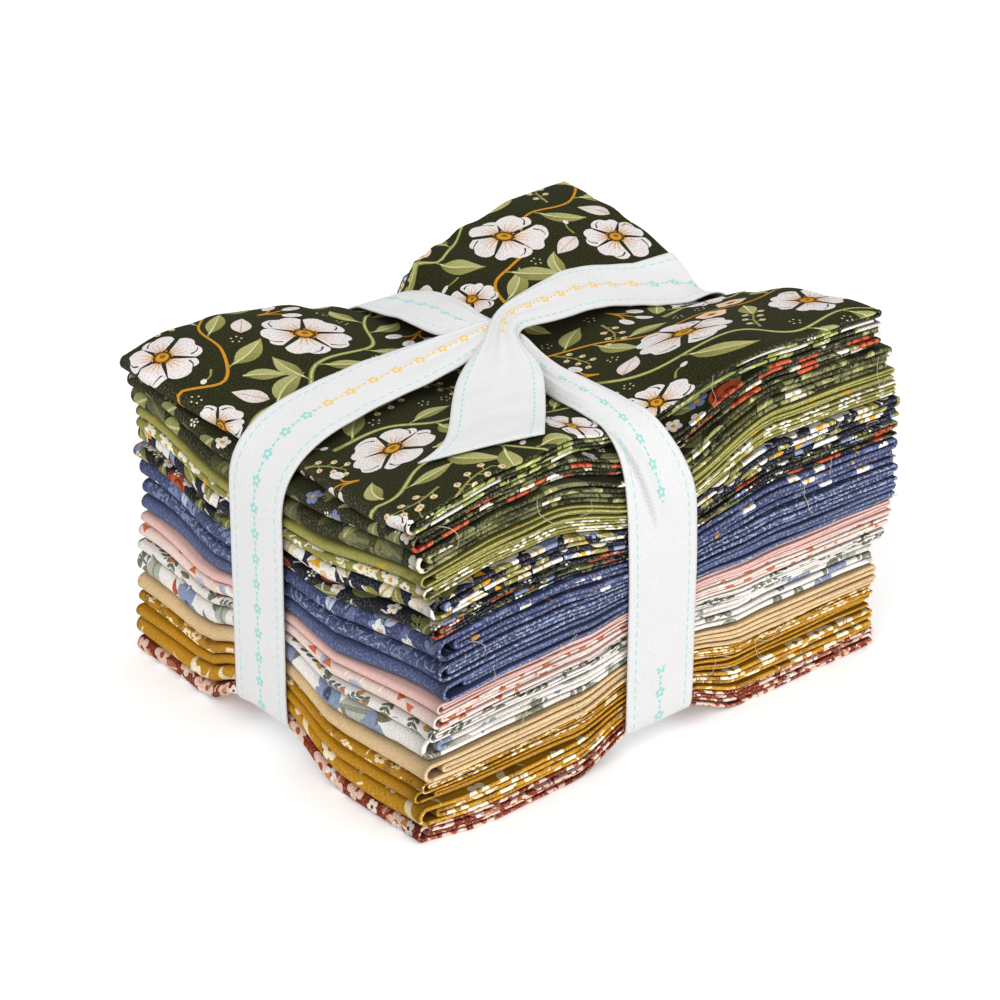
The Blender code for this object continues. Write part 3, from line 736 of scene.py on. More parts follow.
def top_fat_quarter(packet, material, painted):
    """The top sheet, whose print on its outer side is part of its mesh."""
    q, r, points, flat = whole_sheet(packet)
    faces = grid_faces(*q.shape)
    low, high = PATCH
    centres = pairs(q, r)[faces].mean(1)
    faces = faces[~((centres > low) & (centres < high)).all(1)]
    # The painted side's own net: its border, a grid for its shape, and the motifs' outlines.
    marks = []
    for row, folds in ((packet.flat_q, LONG_FOLDS), (packet.flat_r, CROSS_FOLDS)):
        used = stations([0, 1], folds)
        ends = np.interp(used[(used >= low) & (used <= high)], range(8), row)
        inner = np.arange(row[2] + TOP_GRID, row[3] - TOP_GRID / 2, TOP_GRID)
        marks.append(np.unique(np.round(np.concatenate([ends, inner]), 7)))
    grid = np.meshgrid(*marks, indexing="ij")
    net = [tuple(p) for p in pairs(*grid) * 1000]
    index = np.arange(len(net)).reshape(grid[0].shape)
    border = [*index[:, 0], *index[-1, 1:], *index[-2::-1, -1], *index[0, -2:0:-1]]
    edges = list(zip(border, border[1:] + border[:1]))
    middle = np.array([(row[2] + row[3]) / 2 for row in (packet.flat_q, packet.flat_r)]) * 1000
    shapes = bloom_painting().shapes
    outlines = []
    for outline, *_ in shapes:
        outlines.append(list(range(len(net), len(net) + len(outline))))
        net += [tuple(p) for p in outline + middle]
    found = delaunay_2d_cdt([Vector(p) for p in net], edges, outlines, 0, 1e-4)
    places = np.array([tuple(p) for p in found[0]])
    corners = np.array([list(face) for face in found[2]])
    centres = places[corners].mean(1)
    first, last = np.array(net[0]), np.array(net[index[-1, -1]])
    inside = ((centres > first) & (centres < last)).all(1)
    shape_of = np.array([max(origin, default=-1) for origin in found[5]])[inside]
    corners = corners[inside]
    patch_q = np.interp(places[:, 0] / 1000, packet.flat_q, range(8))
    patch_r = np.interp(places[:, 1] / 1000, packet.flat_r, range(8))
    patch, patch_u, patch_v = packet.place(patch_q, patch_r)
    inward = np.minimum(places - first, last - places).min(1) / 5
    patch[:, 2] += PATCH_LIFT * (1 - fall(inward, 0, 1))
    colours = np.tile((*linear(GREEN), 1.0), (len(corners) * 3, 1))
    at = (places[corners] - middle).reshape(-1, 2)
    each = np.repeat(shape_of, 3)
    for number, (_, near, rim, centre, reach) in enumerate(shapes):
        mine = each == number
        share = np.clip(np.hypot(*(at[mine] - centre).T) / reach, 0, 1)[:, None]
        colours[mine, :3] = np.array(near) * (1 - share) + np.array(rim) * share
    # The painted side takes most of the baked picture.
    bake = np.vstack([
        flat / (SHEET_LENGTH, SHEET_WIDTH) * (0.2, 1) + (0.8, 0),
        (places - first) / (last - first) * (0.79, 1),
    ])
    made = add_mesh(
        "cloth_" + packet.name,
        np.vstack([points, patch]),
        faces.tolist() + (corners + len(points)).tolist(),
        {"cloth": np.vstack([flat, pairs(patch_u, patch_v)]), "OFBake": bake},
        [material, painted],
        [0] * len(faces) + [1] * len(corners),
    )
    marks = np.concatenate([q.ravel(), patch_q]), np.concatenate([r.ravel(), patch_r])
    add_finish_marks(made, packet, *marks)
    paint = np.vstack([np.tile((*linear(GREEN), 1.0), (len(faces) * 4, 1)), colours])
    layer = made.data.color_attributes.new("print", "FLOAT_COLOR", "CORNER")
    layer.data.foreach_set("color", paint.astype(np.float32).ravel())
    work = bmesh.new()
    work.from_mesh(made.data)
    bmesh.ops.remove_doubles(work, verts=work.verts, dist=1e-5)
    loose = [vert for vert in work.verts if not vert.link_faces]
    bmesh.ops.delete(work, geom=loose, context="VERTS")
    work.to_mesh(made.data)
    work.free()
    return made


# Materials. Prints are worked out in millimetres on the flat sheet, from its "cloth" map.
def linear(code):
    """The linear colour of a screen colour such as 2f3320."""
    parts = [int(code[k : k + 2], 16) / 255 for k in (0, 2, 4)]
    return [part / 12.92 if part < 0.04045 else ((part + 0.055) / 1.055) ** 2.4 for part in parts]


def applied(operation):
    return lambda value, other: value.node(operation, other)


class Value:
    """A number that material nodes work out. Arithmetic on values adds nodes."""

    __add__ = __radd__ = applied("ADD")
    __sub__ = applied("SUBTRACT")
    __mul__ = __rmul__ = __and__ = applied("MULTIPLY")
    __truediv__ = applied("DIVIDE")
    __pow__ = applied("POWER")
    __mod__ = applied("FLOORED_MODULO")
    __lt__ = applied("LESS_THAN")
    __gt__ = applied("GREATER_THAN")
    __or__ = applied("MAXIMUM")

    def __init__(self, tree, socket):
        self.tree = tree
        self.socket = socket

    def node(self, operation, *others):
        inputs = dict(enumerate((self, *others)))
        return Value(self.tree, add(self.tree, "Math", inputs, operation=operation)[0])

    def __rsub__(self, other):
        return self.node("MULTIPLY_ADD", -1.0, other)

    def __abs__(self):
        return self.node("ABSOLUTE")


def feed(tree, socket, item):
    """Links a value or a socket, or sets a number, a vector or a screen colour such as 2f3320."""
    if isinstance(item, Value):
        tree.links.new(item.socket, socket)
    elif isinstance(item, bpy.types.NodeSocket):
        tree.links.new(item, socket)
    else:
        socket.default_value = (*linear(item), 1) if isinstance(item, str) else item


def add(tree, kind, inputs, **settings):
    """A new node's outputs. inputs says what feeds which input."""
    made = tree.nodes.new("ShaderNode" + kind)
    for key, setting in settings.items():
        setattr(made, key, setting)
    for key, item in inputs.items():
        feed(tree, made.inputs[key], item)
    return made.outputs


def sine(value):
    return value.node("SINE")


def radius(x, y):
    return (x * x + y * y) ** 0.5


def angle(x, y):
    return y.node("ARCTAN2", x)


def within(value, parts):
    """Whether a value lies in one of two parts."""
    first, second = ((value > low) & (value < high) for low, high in parts)
    return first | second


def scatter(tree, vector, cell, seed, loose):
    """The place in the nearest motif's own turned frame, and a random share of that motif."""
    spot = (seed * 37.7, seed * 91.3, 0)
    place = add(tree, "VectorMath", {0: vector, 1: spot}, operation="ADD")[0]
    inputs = {"Scale": 1 / cell, "Randomness": loose, "Vector": place}
    cells = add(tree, "TexVoronoi", inputs, voronoi_dimensions="2D")
    away = add(tree, "VectorMath", {0: place, 1: cells["Position"]}, operation="SUBTRACT")[0]
    shares = add(tree, "SeparateColor", {0: cells["Color"]})
    turn = Value(tree, shares[0]) * (2 * math.pi)
    turned = add(tree, "VectorRotate", {"Vector": away, "Angle": turn}, rotation_type="Z_AXIS")[0]
    split = add(tree, "SeparateXYZ", {0: turned})
    return [Value(tree, output) for output in (split[0], split[1], shares[1])]


# Motifs. Each gives masks from a place in its own frame, for its colours in turn.
def leaf(x, y, size):
    half = (1 - (x * (2 / size)) ** 2) * (size * 0.26)
    blade = half > abs(y)
    return blade, blade & (abs(y) < size * 0.035)


def blossom(x, y, size):
    far = radius(x, y)
    lobes = abs(sine(angle(x, y) * 2.5)) ** 0.5
    return far < lobes * (size * 0.24) + size * 0.26, far < size * 0.14


def rose(x, y, size):
    far = radius(x, y)
    inside = far < size * 0.5
    turns = sine(far * (16 / size) + angle(x, y) * 2)
    return inside, inside & (turns > 0.45)


def berry(x, y, size):
    return (radius(x, y * 1.5) < size * 0.5,)


def dots(x, y, size):
    """A ring of five dots and one in the middle."""
    far = radius(x, y)
    sector = 2 * math.pi / 5
    turn = (angle(x, y) % sector) - sector / 2
    near = radius(far * turn.node("COSINE") - size * 0.36, far * sine(turn))
    return (near < size * 0.13) | (far < size * 0.13),


def crescent(x, y, size):
    return (radius(x, y) < size * 0.5) & (radius(x - size * 0.16, y) > size * 0.42),


def sprig(x, y, size):
    """A stem with pairs of small leaves."""
    inside = abs(x) < size * 0.5
    pitch = size * 0.25
    along = (x % pitch) - pitch * 0.5
    side = abs(y) - size * 0.11
    slant = along - side * 0.8
    pair = radius(slant * (2.6 / size * 4), side * (1 / size * 9)) < 1
    return inside & (pair | (abs(y) < size * 0.018)), inside & (abs(y) < size * 0.018)


def petal(x, y, size):
    """A small wedge."""
    return (abs(y) < (x + size * 0.5) * 0.5) & (x < size * 0.3),


def flecks(x, y, size):
    return (abs(y) < size * 0.12) & (abs(x) < size * 0.5),


GREEN = "26270f"
CREAM = "e9e2cf"
WHITE = "efebe6"
GOLD = "d79a1f"
LEAF = "8f9a4e"

# Each print: ground, and layers of motif, cell, size, share of cells that hold one, and colours.
PRINTS = {
    "dark_green_large_floral": (
        GREEN, (sprig, 13, 12, 0.7, LEAF, "a5a963"), (leaf, 11, 10, 0.7, LEAF, "bcbe80"),
        (blossom, 19, 12, 0.45, "cfc8c2", GOLD), (berry, 9, 4, 0.4, "cfc8c2"), (dots, 11, 3, 0.6, CREAM),
    ),
    "dark_green_small_floral": (
        "262710", (sprig, 12, 10, 0.8, "6c6b45", "84835a"), (leaf, 10, 8, 0.8, "7c7c50", "b0ae80"),
        (rose, 14, 7.5, 0.5, "b9502c", "7c2a14"), (blossom, 12, 4.6, 0.5, "6f7da6", GOLD),
        (blossom, 11, 4.2, 0.55, "e2dbd2", GOLD), (dots, 9, 2.6, 0.5, CREAM),
    ),
    "dark_green_leaves": (
        "282910", (leaf, 15, 15, 0.9, "42431f", "565630"), (leaf, 13, 11, 0.8, "54553a", "6e6d46"),
        (sprig, 13, 11, 0.7, "72724a", "72724a"), (leaf, 12, 7, 0.6, "8c8b52", "b6b380"),
        (blossom, 15, 5.5, 0.5, "ddd8c6", "a9a565"),
    ),
    "olive_specks": ("949048", (sprig, 13, 12, 0.5, "86823c", "86823c"), (petal, 15, 3, 0.5, "c99522")),
    "olive_small_floral": (
        "8d8840", (blossom, 7, 5.2, 0.8, CREAM, GOLD), (sprig, 8, 6, 0.8, "ddd7b4", "ddd7b4"),
        (blossom, 6, 3.6, 0.7, "ebe6d4", "6d6a2c"), (flecks, 4.4, 2.2, 0.5, CREAM),
        (petal, 11, 3, 0.5, GOLD),
    ),
    "navy_floral": (
        "171b30", (crescent, 17, 14, 0.5, "7f8db0"), (blossom, 11, 8.6, 0.75, "e6e2dc", "d8bb94"),
        (leaf, 9, 7.5, 0.8, "dfd3b6", "b5986a"), (leaf, 10, 7, 0.5, "857f3e", "b5b07c"),
        (petal, 12, 3.4, 0.4, GOLD), (flecks, 4, 2.4, 0.65, "dcdad2"),
    ),
    "black_navy_floral": (
        "15161f", (sprig, 12, 10, 0.7, "5f6034", "7f7f48"), (leaf, 10, 8, 0.6, "6c6c3a", "a9a775"),
        (rose, 14, 7.5, 0.7, "b14e2b", "742511"), (blossom, 11, 5, 0.7, "7485ad", GOLD),
        (blossom, 9, 3.8, 0.7, "dcd6cf", GOLD), (flecks, 5, 2.2, 0.4, "b9bcc4"),
        (dots, 8, 2.8, 0.7, CREAM),
    ),
    "blue_sprigs": (
        "3b456d", (crescent, 13, 10, 0.5, "5a678f"), (sprig, 12, 9, 0.6, "727fa3", "727fa3"),
        (leaf, 10, 5, 0.4, "b9c1d6", "8490b3"), (blossom, 12, 4.6, 0.55, "dedbd8", GOLD),
        (flecks, 4, 1.8, 0.4, "a3abbd"), (petal, 15, 3, 0.6, "b98630"),
    ),
    "blue_flecks": (
        "414d73", (flecks, 2.6, 2.0, 0.85, "75819f"), (flecks, 2.2, 1.5, 0.8, "8f9bb7"),
        (crescent, 8, 6.5, 0.5, "6d7a9d"),
    ),
    "blue_plain": ("4b567d",),
    "pink_plain": ("e0b6ae",),
    "blush_specks": (
        "e2cbc1", (crescent, 10, 7, 0.4, "f1e7e1"), (leaf, 10, 5, 0.4, "aab3c6", "8a96b2"),
        (petal, 7, 3.4, 0.7, "c4643a"), (flecks, 6, 2.0, 0.5, WHITE),
    ),
    "white_small_floral": (
        "e0dbd6", (sprig, 9, 8, 0.8, "5d6150", "5d6150"), (leaf, 6.5, 4.2, 0.6, "74785f", "4c5140"),
        (petal, 7, 3, 0.5, "c26a48"), (berry, 7, 2.2, 0.5, "bd8a3a"), (flecks, 5, 2, 0.4, "8e96ab"),
    ),
    "white_large_floral": (
        "e0dbd5", (leaf, 14, 12, 0.6, "a9ab9f", "848877"), (sprig, 14, 12, 0.6, "6f7263", "6f7263"),
        (leaf, 11, 7, 0.5, "6d705c", "96987f"), (blossom, 15, 9, 0.55, "7f8aa6", "3d4662"),
        (blossom, 12, 4.6, 0.4, "c79a4c", "8a5a14"), (petal, 21, 4, 0.5, "a5442f"),
    ),
    "tan_plain": ("d0b184",),
    "mustard_small_floral": (
        "b17c0c", (blossom, 5.4, 4.0, 0.8, "ecd7ab", "a8720c"), (flecks, 4, 2.2, 0.6, "ecdab2"),
        (sprig, 7, 5, 0.5, "82610c", "82610c"),
    ),
    "mustard_plain": ("b57f06",),
    "mustard_floral": (
        "b48008", (crescent, 12, 8, 0.5, "e6d3a4"), (leaf, 11, 8, 0.6, "99690a", "85590a"),
        (blossom, 11, 5.5, 0.5, "ecdfc2", "a8720c"), (flecks, 7, 2.2, 0.5, "e8d5a8"),
    ),
    "rust_floral": (
        "7a260d", (leaf, 9, 7, 0.7, "a35a3c", "d3ab96"), (blossom, 7.4, 5.8, 0.8, "dfbcaa", "9c4424"),
        (blossom, 6, 3.6, 0.75, "e9ddd5", "7a260d"), (petal, 7, 3, 0.5, "bd8247"),
        (flecks, 4, 2.0, 0.6, "e3cbbf"),
    ),
}

# The weave's pitch and the sizes of its unevenness, in millimetres, how strongly they show, and how
# light a ground counts as very dark, dark or pale.
WEAVE_PITCH = 0.36
GRAIN, FINE, CLOUDY = 0.9, 0.34, 22
WEAVE_TONE, GRAIN_TONE, CLOUDY_TONE = 0.05, 0.35, 0.2
VERY_DARK, DARK, PALE = 0.1, 0.4, 1.2


def new_material(name, roughness, specular, sheen):
    made = bpy.data.materials.new(name)
    made.use_nodes = True
    shader = made.node_tree.nodes["Principled BSDF"]
    shader.inputs["Roughness"].default_value = roughness
    shader.inputs["Specular IOR Level"].default_value = specular
    shader.inputs["Sheen Weight"].default_value = sheen
    shader.inputs["Sheen Roughness"].default_value = 0.5
    return made, made.node_tree, shader


def flat_map(tree):
    """The place on the flat sheet, in millimetres, as a vector and as two values."""
    source = add(tree, "UVMap", {}, uv_map="cloth")[0]
    scaled = add(tree, "VectorMath", {0: source, "Scale": 1000}, operation="SCALE")[0]
    split = add(tree, "SeparateXYZ", {0: scaled})
    return scaled, Value(tree, split[0]), Value(tree, split[1])


def mixed(tree, under, over, share, how="MIX"):
    inputs = {"Factor": share, 6: under, 7: over}
    return add(tree, "Mix", inputs, data_type="RGBA", blend_type=how)[2]


def grey(tree, value):
    return add(tree, "CombineColor", {0: value, 1: value, 2: value})[0]


def noise(tree, vector, size, detail=2.0):
    inputs = {"Scale": 1 / size, "Detail": detail, "Vector": vector}
    return Value(tree, add(tree, "TexNoise", inputs)[0])


def bumped(tree, shader, height, distance, strength):
    inputs = {"Distance": distance, "Strength": strength, "Height": height}
    feed(tree, shader.inputs["Normal"], add(tree, "Bump", inputs)[0])


def mark(tree, name):
    """One of the mesh's own numbers."""
    return Value(tree, add(tree, "Attribute", {}, attribute_name=name)["Fac"])


def cotton(slot, painted=False):
    """Printed quilting cotton. painted takes the print from the mesh's own colours."""
    made, tree, shader = new_material(slot + ("_painted" if painted else ""), 0.9, 0.06, 0.02)
    vector, u, v = flat_map(tree)
    ground, *layers = PRINTS[slot]
    lightness = sum(linear(ground))
    if painted:
        colour = add(tree, "Attribute", {}, attribute_name="print")["Color"]
    else:
        colour = ground
        seed = sorted(PRINTS).index(slot) + 1
        for k, (motif, cell, size, share, *tints) in enumerate(layers):
            x, y, pick = scatter(tree, vector, cell, seed + k * 0.37, 0.75)
            chosen = pick < share
            for mask, tint in zip(motif(x, y, size), tints):
                colour = mixed(tree, colour, tint, mask & chosen)
    # Plain weave: warp and weft threads, each a little lighter or darker than the next.
    warp = sine(u * (2 * math.pi / WEAVE_PITCH))
    weft = sine(v * (2 * math.pi / WEAVE_PITCH))
    cross = warp & weft
    grain = noise(tree, vector, GRAIN, 3.0)
    cloudy = noise(tree, vector, CLOUDY)
    fine = noise(tree, vector, FINE)
    speckle = 1.7 if lightness < DARK else 0.8
    level = 1 - (GRAIN_TONE + speckle + CLOUDY_TONE) / 2
    tone = cross * WEAVE_TONE + grain * GRAIN_TONE + fine * speckle + cloudy * CLOUDY_TONE + level
    colour = mixed(tree, colour, grey(tree, tone), 1.0, "MULTIPLY")
    if lightness < DARK:
        colour = mixed(tree, colour, "8a8870", (fine - 0.52) * 0.9 | 0.0)
    # Creases are rubbed a little paler, with pale frayed flecks; the paleness on each fold's crest is also
    # a painted highlight.
    crease = mark(tree, "crease_wear_and_highlight")
    fray_and_highlight_flecks = (noise(tree, vector, 0.6, 3.0) - 0.5) & crease
    colour = mixed(tree, colour, "ddd6c8", fray_and_highlight_flecks * (1.2 if lightness < VERY_DARK else 2.4) | 0.0)
    rubbed_and_highlit = crease * noise(tree, vector, 2.2) * 0.4 + 1
    # Painted shade darkens the grooves between layers and a painted highlight brightens the ridges. Pale
    # cloth sends light on into its own grooves, so its painted shade is milder.
    light = mark(tree, "light")
    if lightness > PALE:
        light = light**0.55
    colour = mixed(tree, colour, grey(tree, light * rubbed_and_highlit), 1.0, "MULTIPLY")
    feed(tree, shader.inputs["Base Color"], colour)
    bumped(tree, shader, cross * 0.5 + grain, 0.00012, 0.6)
    return made


# The tape's ridges, edge dashes and blossoms, and the place of the crease's shadow, in millimetres;
# and how dark that shadow is.
TWILL_PITCH = 0.8
THREAD_PITCH = 0.42
DASH_FROM_MIDDLE = 7.9
DASH_PITCH = 2.45
BLOSSOM_PITCH = 6.4
CREASE_ON_TAPE = 533.5
CREASE_LENGTH = 28
CREASE_SLOPE = 8.2
CREASE_SIDE = 10.3
CREASE_SHADE = 0.36
# Where along the tape its blossoms are gold, and where it has none.
GOLD_PARTS = ((-1, 58), (372, 446))
BARE_PARTS = ((432, 500), (556, 598))


def twill():
    """White cotton tape with a herringbone of fine ridges and a dashed line near each edge."""
    made, tree, shader = new_material("ribbon_twill", 0.85, 0.1, 0.03)
    vector, u, v = flat_map(tree)
    side = abs(v)
    ridges = sine((u + side * 0.9) * (2 * math.pi / TWILL_PITCH))
    threads = sine(v * (2 * math.pi / THREAD_PITCH))
    grain = noise(tree, vector, 0.7, 3.0)
    dash = (abs(side - DASH_FROM_MIDDLE) < 0.2) & ((u % DASH_PITCH) < 1.5)
    tone = ridges * 0.030 + grain * 0.09 + noise(tree, vector, 14) * 0.05 + 0.67
    # The shadow beside the front arm's crease.
    along = (u - CREASE_ON_TAPE) / CREASE_LENGTH
    near = (1 - abs(v + along * CREASE_SLOPE - CREASE_SIDE)) | 0.0
    tone = tone - near * ((along * (1 - along) | 0.0) ** 0.5) * CREASE_SHADE
    colour = mixed(tree, grey(tree, tone), "8fd6cf", dash * 0.75)
    # A row of plain little blossoms down the middle, gold about the knot and teal elsewhere.
    along = (u % BLOSSOM_PITCH) - BLOSSOM_PITCH / 2
    far = radius(along, v)
    flower = (far < abs(sine(angle(along, v) * 2.5)) * 0.8 + 0.75) & (far > 0.45)
    bud = ((abs(along) - 2.55) * 0.55 + side * 1.3) < 0.42
    tint = mixed(tree, "7fd0c8", "edbf3a", within(u, GOLD_PARTS))
    printed = (flower | (bud & (abs(along) > 2.0))) & (1 - within(u, BARE_PARTS))
    colour = mixed(tree, colour, tint, printed * 0.8)
    feed(tree, shader.inputs["Base Color"], colour)
    bumped(tree, shader, ridges * 0.6 + threads * 0.3 + grain * 0.8, 0.00012, 0.35)
    return made


def studio_floor():
    """White paper that glows a little, so that it shows as pure white."""
    made, tree, shader = new_material("floor", 0.9, 0.1, 0.0)
    feed(tree, shader.inputs["Base Color"], (0.93, 0.93, 0.93, 1))
    feed(tree, shader.inputs["Emission Color"], (1, 1, 1, 1))
    feed(tree, shader.inputs["Emission Strength"], 0.2)
    return made


# The ribbon. A strand's rows give its left edge, its right edge and how far its middle arches up, in
# millimetres. Strand A starts under the knot, runs left and right round the stack, comes back over
# the knot, which its last rows wrap, and ends in the free end. Strand B passes under the knot.
TAPE_THICKNESS = 0.00045
TAPE_CLEARANCE = 0.0008
TAPE_CROSSING = 0.0008
CROSSING_REACH = 0.022
TAPE_STEP = 0.0015
TAPE_COLUMNS = 29
GIRTH_REACH = 0.0017
SETTLE_SHARE = 0.09
PLEAT_REACH = 0.024
PLEAT_HEIGHT = 0.00042
UNEVEN_HEIGHT = 0.0003
CREASE_START = 0.046
CREASE_END = 0.074
CREASE_HEIGHT = 0.0011
ON_TOP = 0.07
REST_REACH = 0.003
GIRTH_LINES = (-1.0, -0.5, 0.0, 0.5, 1.0)
ARM_LEFT = (
    (4, -3, 86.2, 4, 3, 86.2, 0.6),
    (-3, -4.5, 86.6, -3, 3.6, 86.8, 0.8),
    (-12, -7, 85.4, -11, 6, 85.7, 0.8),
    (-22, -9, 84, -22, 8.5, 84.1, 0.5),
    (-35, -9.1, 82.1, -35, 10.7, 82.2, 0.2),
    (-47, -9.2, 80.4, -47, 11.6, 80.5, 0),
    (-57, -10.2, 78.9, -57, 10.8, 79.2, 0),
)
ARM_RIGHT_AND_TAIL = (
    (59.5, 14, 83.6, 58, -5.6, 78.8, 0),
    (48.3, 15.6, 85.1, 44.8, -3.6, 81.2, 0),
    (37, 16.7, 86.9, 33.6, -2.2, 83.7, 0.3),
    (24.3, 13.2, 88, 21.9, -3.4, 85.4, 0.6),
    (13.5, 9.7, 88.2, 12.9, -4.3, 86, 1),
    (5.8, 7.4, 87.8, 5.5, -4.3, 86.8, 1.3),
    (-1, 3, 87.4, 1.2, -5.1, 87.2, 1.5),
    (-6.6, -1.9, 87, -3.1, -9.9, 87.4, 1.5),
    (-12.5, -6.5, 86.4, -6.7, -17.1, 87.4, 1.2),
    (-18.4, -10.2, 85.6, -8.4, -23, 87, 0.8),
    (-24.4, -14.1, 84.6, -11.4, -28.4, 86.4, 0.5),
    (-30.8, -20.3, 83.6, -15, -33.2, 85.9, 0.3),
    (-37.4, -27.7, 83.2, -19.1, -38.2, 85.5, 0.2),
    (-44.3, -35.3, 83.4, -23.3, -43.2, 85.4, 0.1),
    (-50.8, -40.1, 83.5, -27.9, -48.4, 86.3, 0.2),
    (-56.8, -41.2, 83, -32.4, -53.6, 87.1, 0.2),
)
ARM_FRONT = (
    (3.5, 1, 84.9, -5, 1, 84.9, 0.4),
    (1.5, -7, 85.6, -6, -7, 84.6, 0.8),
    (-0.8, -16, 84.5, -6.8, -16, 82, 1.2),
    (-0.6, -24, 83, -7.4, -24, 79.6, 1.6),
    (1.8, -30, 81.8, -7.8, -31, 79.2, 1.5),
    (3.6, -37, 80.4, -8, -38, 78.6, 1.2),
    (4.4, -44, 79, -8.4, -45, 77.8, 0.8),
)
ARM_BACK = (
    (-7, 50, 77.8, 7.6, 50, 77.8, 0),
    (-8.2, 44, 79.3, 8.6, 44, 79.6, 0.2),
    (-9.4, 35, 80.9, 9.4, 35, 81.3, 0.3),
    (-10.2, 26, 82.6, 8, 26, 82.8, 0.6),
    (-11.4, 18, 83.6, 5.4, 18, 84, 0.9),
    (-11.4, 10, 83.9, 2.8, 10, 84.9, 1),
    (-7.5, 4, 84.3, 3, 4, 85, 0.9),
    (-5, -1, 84.9, 3.5, -1, 84.9, 0.4),
)


def girth(cloud, across, at, start, end):
    """The tight line round the stack at this place: from start, down and under the stack, up to end."""
    near = cloud[abs(cloud[:, across] - at) < GIRTH_REACH][:, (1 - across, 2)]
    near = np.vstack([near, start, end])
    ring = near[convex_hull_2d([Vector(p) for p in near])]
    first = np.argmin(np.hypot(*(ring - start).T))
    ring = np.roll(ring, -first, axis=0)
    last = np.argmin(np.hypot(*(ring - end).T))
    return ring[: last + 1]


def strand(cloud, across, first_arm, last_arm, lean, shift, crossing):
    """One length of tape, as rows of TAPE_COLUMNS points. across is the axis that its width lies on."""
    lines = []
    counts = []
    pick = [1 - across, 2]
    # Whether the right-hand edge is the one further along the axis.
    handed = 1 if first_arm[-1][3 + across] > first_arm[-1][across] else -1
    for t in GIRTH_LINES:
        arms = []
        for rows, turn in ((first_arm, t), (last_arm, -t)):
            rows = np.array(rows) * 0.001
            place = rows[:, :3] * (1 - turn) / 2 + rows[:, 3:6] * (1 + turn) / 2
            place[:, 2] += rows[:, 6] * (1 - t**4)
            arms.append(place)
        start, end = arms[0][-1], arms[1][0]
        flat = girth(cloud, across, (start[across] + end[across]) / 2, start[pick], end[pick])
        if not counts:
            counts = [round(walked(line)[-1] / TAPE_STEP) for line in (arms[0], flat, arms[1])]
        flat = evenly(flat, counts[1])
        ahead = directions(flat)
        share = np.linspace(0, 1, len(flat))
        from_end = np.minimum(share, 1 - share)
        under = np.exp(-((flat[:, 0] / CROSSING_REACH) ** 4)) * (flat[:, 1] < 0.02)
        proud = TAPE_CLEARANCE * np.minimum(1, from_end * 80) + crossing * under
        middle = np.zeros((len(flat), 3))
        middle[:, pick] = flat + pairs(ahead[:, 1], -ahead[:, 0]) * proud[:, None]
        # The width settles to a straight line down each face, and shifts across under the stack.
        settle = smooth(np.clip(from_end / SETTLE_SHARE, 0, 1))
        straight = lean * (1 - share) ** 2 + shift * share + handed * t * RIBBON_WIDTH / 2
        ends = np.where(share < 0.5, start[across], end[across])
        middle[:, across] = ends * (1 - settle) + straight * settle
        before, after = curved(arms[0], counts[0])[:-1], curved(arms[1], counts[2])[1:]
        lines.append(np.vstack([before, middle, after]))
    lines = np.array(lines)
    for k in range(6):
        softer = (lines[:, :-2] + 2 * lines[:, 1:-1] + lines[:, 2:]) / 4
        lines[:, 1:-1] = np.where((lines[:, 1:-1, 2:] > 0.03) | (k < 1), softer, lines[:, 1:-1])
    marks = np.linspace(-1, 1, TAPE_COLUMNS)
    wide = np.zeros((lines.shape[1], TAPE_COLUMNS, 3))
    for k in range(3):
        for j in range(lines.shape[1]):
            wide[j, :, k] = np.interp(marks, GIRTH_LINES, lines[:, j, k])
    # Fine pleats gather the tape near the knot, and the rest of it is a little uneven.
    middle = wide[:, TAPE_COLUMNS // 2]
    gather = (bell(np.hypot(middle[:, 0], middle[:, 1]), PLEAT_REACH) * (middle[:, 2] > ON_TOP))[:, None]
    ripple = np.sin(marks * 9.5 + 0.8) * 0.7 + np.sin(marks * 17 + across) * 0.4
    wide[:, :, 2] += PLEAT_HEIGHT * gather * ripple
    way = walked(middle)[:, None]
    slow = np.sin(way * 260 + marks * 1.3) * np.sin(way * 97 + 1) * 0.6
    uneven = 0.85 + slow + np.sin(way * 610 - marks * 3) * 0.25
    wide[:, :, 2] += UNEVEN_HEIGHT * uneven * (1 - gather) * np.clip(middle[:, 2:] * 200 - 15.4, 0, 1)
    if across == 0:
        # A crease runs down the front arm, from its left edge to its middle.
        along = (way - CREASE_START) / (CREASE_END - CREASE_START)
        beside = marks - (0.95 - 0.8 * along)
        swell = np.clip(1 + beside / 0.5, 0, 1) * fall(beside, -0.02, 0.12)
        swell = CREASE_HEIGHT * swell * np.sin(np.clip(along, 0, 1) * math.pi)
        wide[:, :, 2] += swell
        wide[:, :, 1] -= swell
    # Wherever the cloth would touch it, the tape lies just on the cloth.
    x, y, z = np.moveaxis(wide, -1, 0)
    short = np.maximum(top_height(x, y) + TAPE_CLEARANCE - z, 0)
    wide[:, :, 2] += np.where(z > ON_TOP, short * np.clip(room(x, y) / REST_REACH, 0, 1), 0)
    return wide, marks


def room(x, y):
    """How far a place lies inside the top fat quarter's edges, where the tape pulls them in."""
    found = []
    for kind, at in (("folds", x), ("raw", x), ("front", y), ("back", y)):
        end, _, sign = SIDES[kind]
        found.append(end - tuck(TUCK[kind], STACK[-1].below_top) - sign * at)
    return np.minimum.reduce(found)


def places(packet, q, r):
    return packet.place(*np.meshgrid(q, r))[0].reshape(-1, 3)


# Places over a packet's outside, for the tape to be drawn tight round.
RUN_MARKS = np.linspace(0, 1, 49)
SIDE_MARKS = np.linspace(0, 1, 41)
CLOUD_Q = np.concatenate([RUN_MARKS, 1 + np.linspace(0, 1, 9), 2 + RUN_MARKS, [3.5, 5.5, 7.0]])
CLOUD_R = np.concatenate([SIDE_MARKS, [1.25, 1.5, 1.75], 2 + SIDE_MARKS, [3.5]])


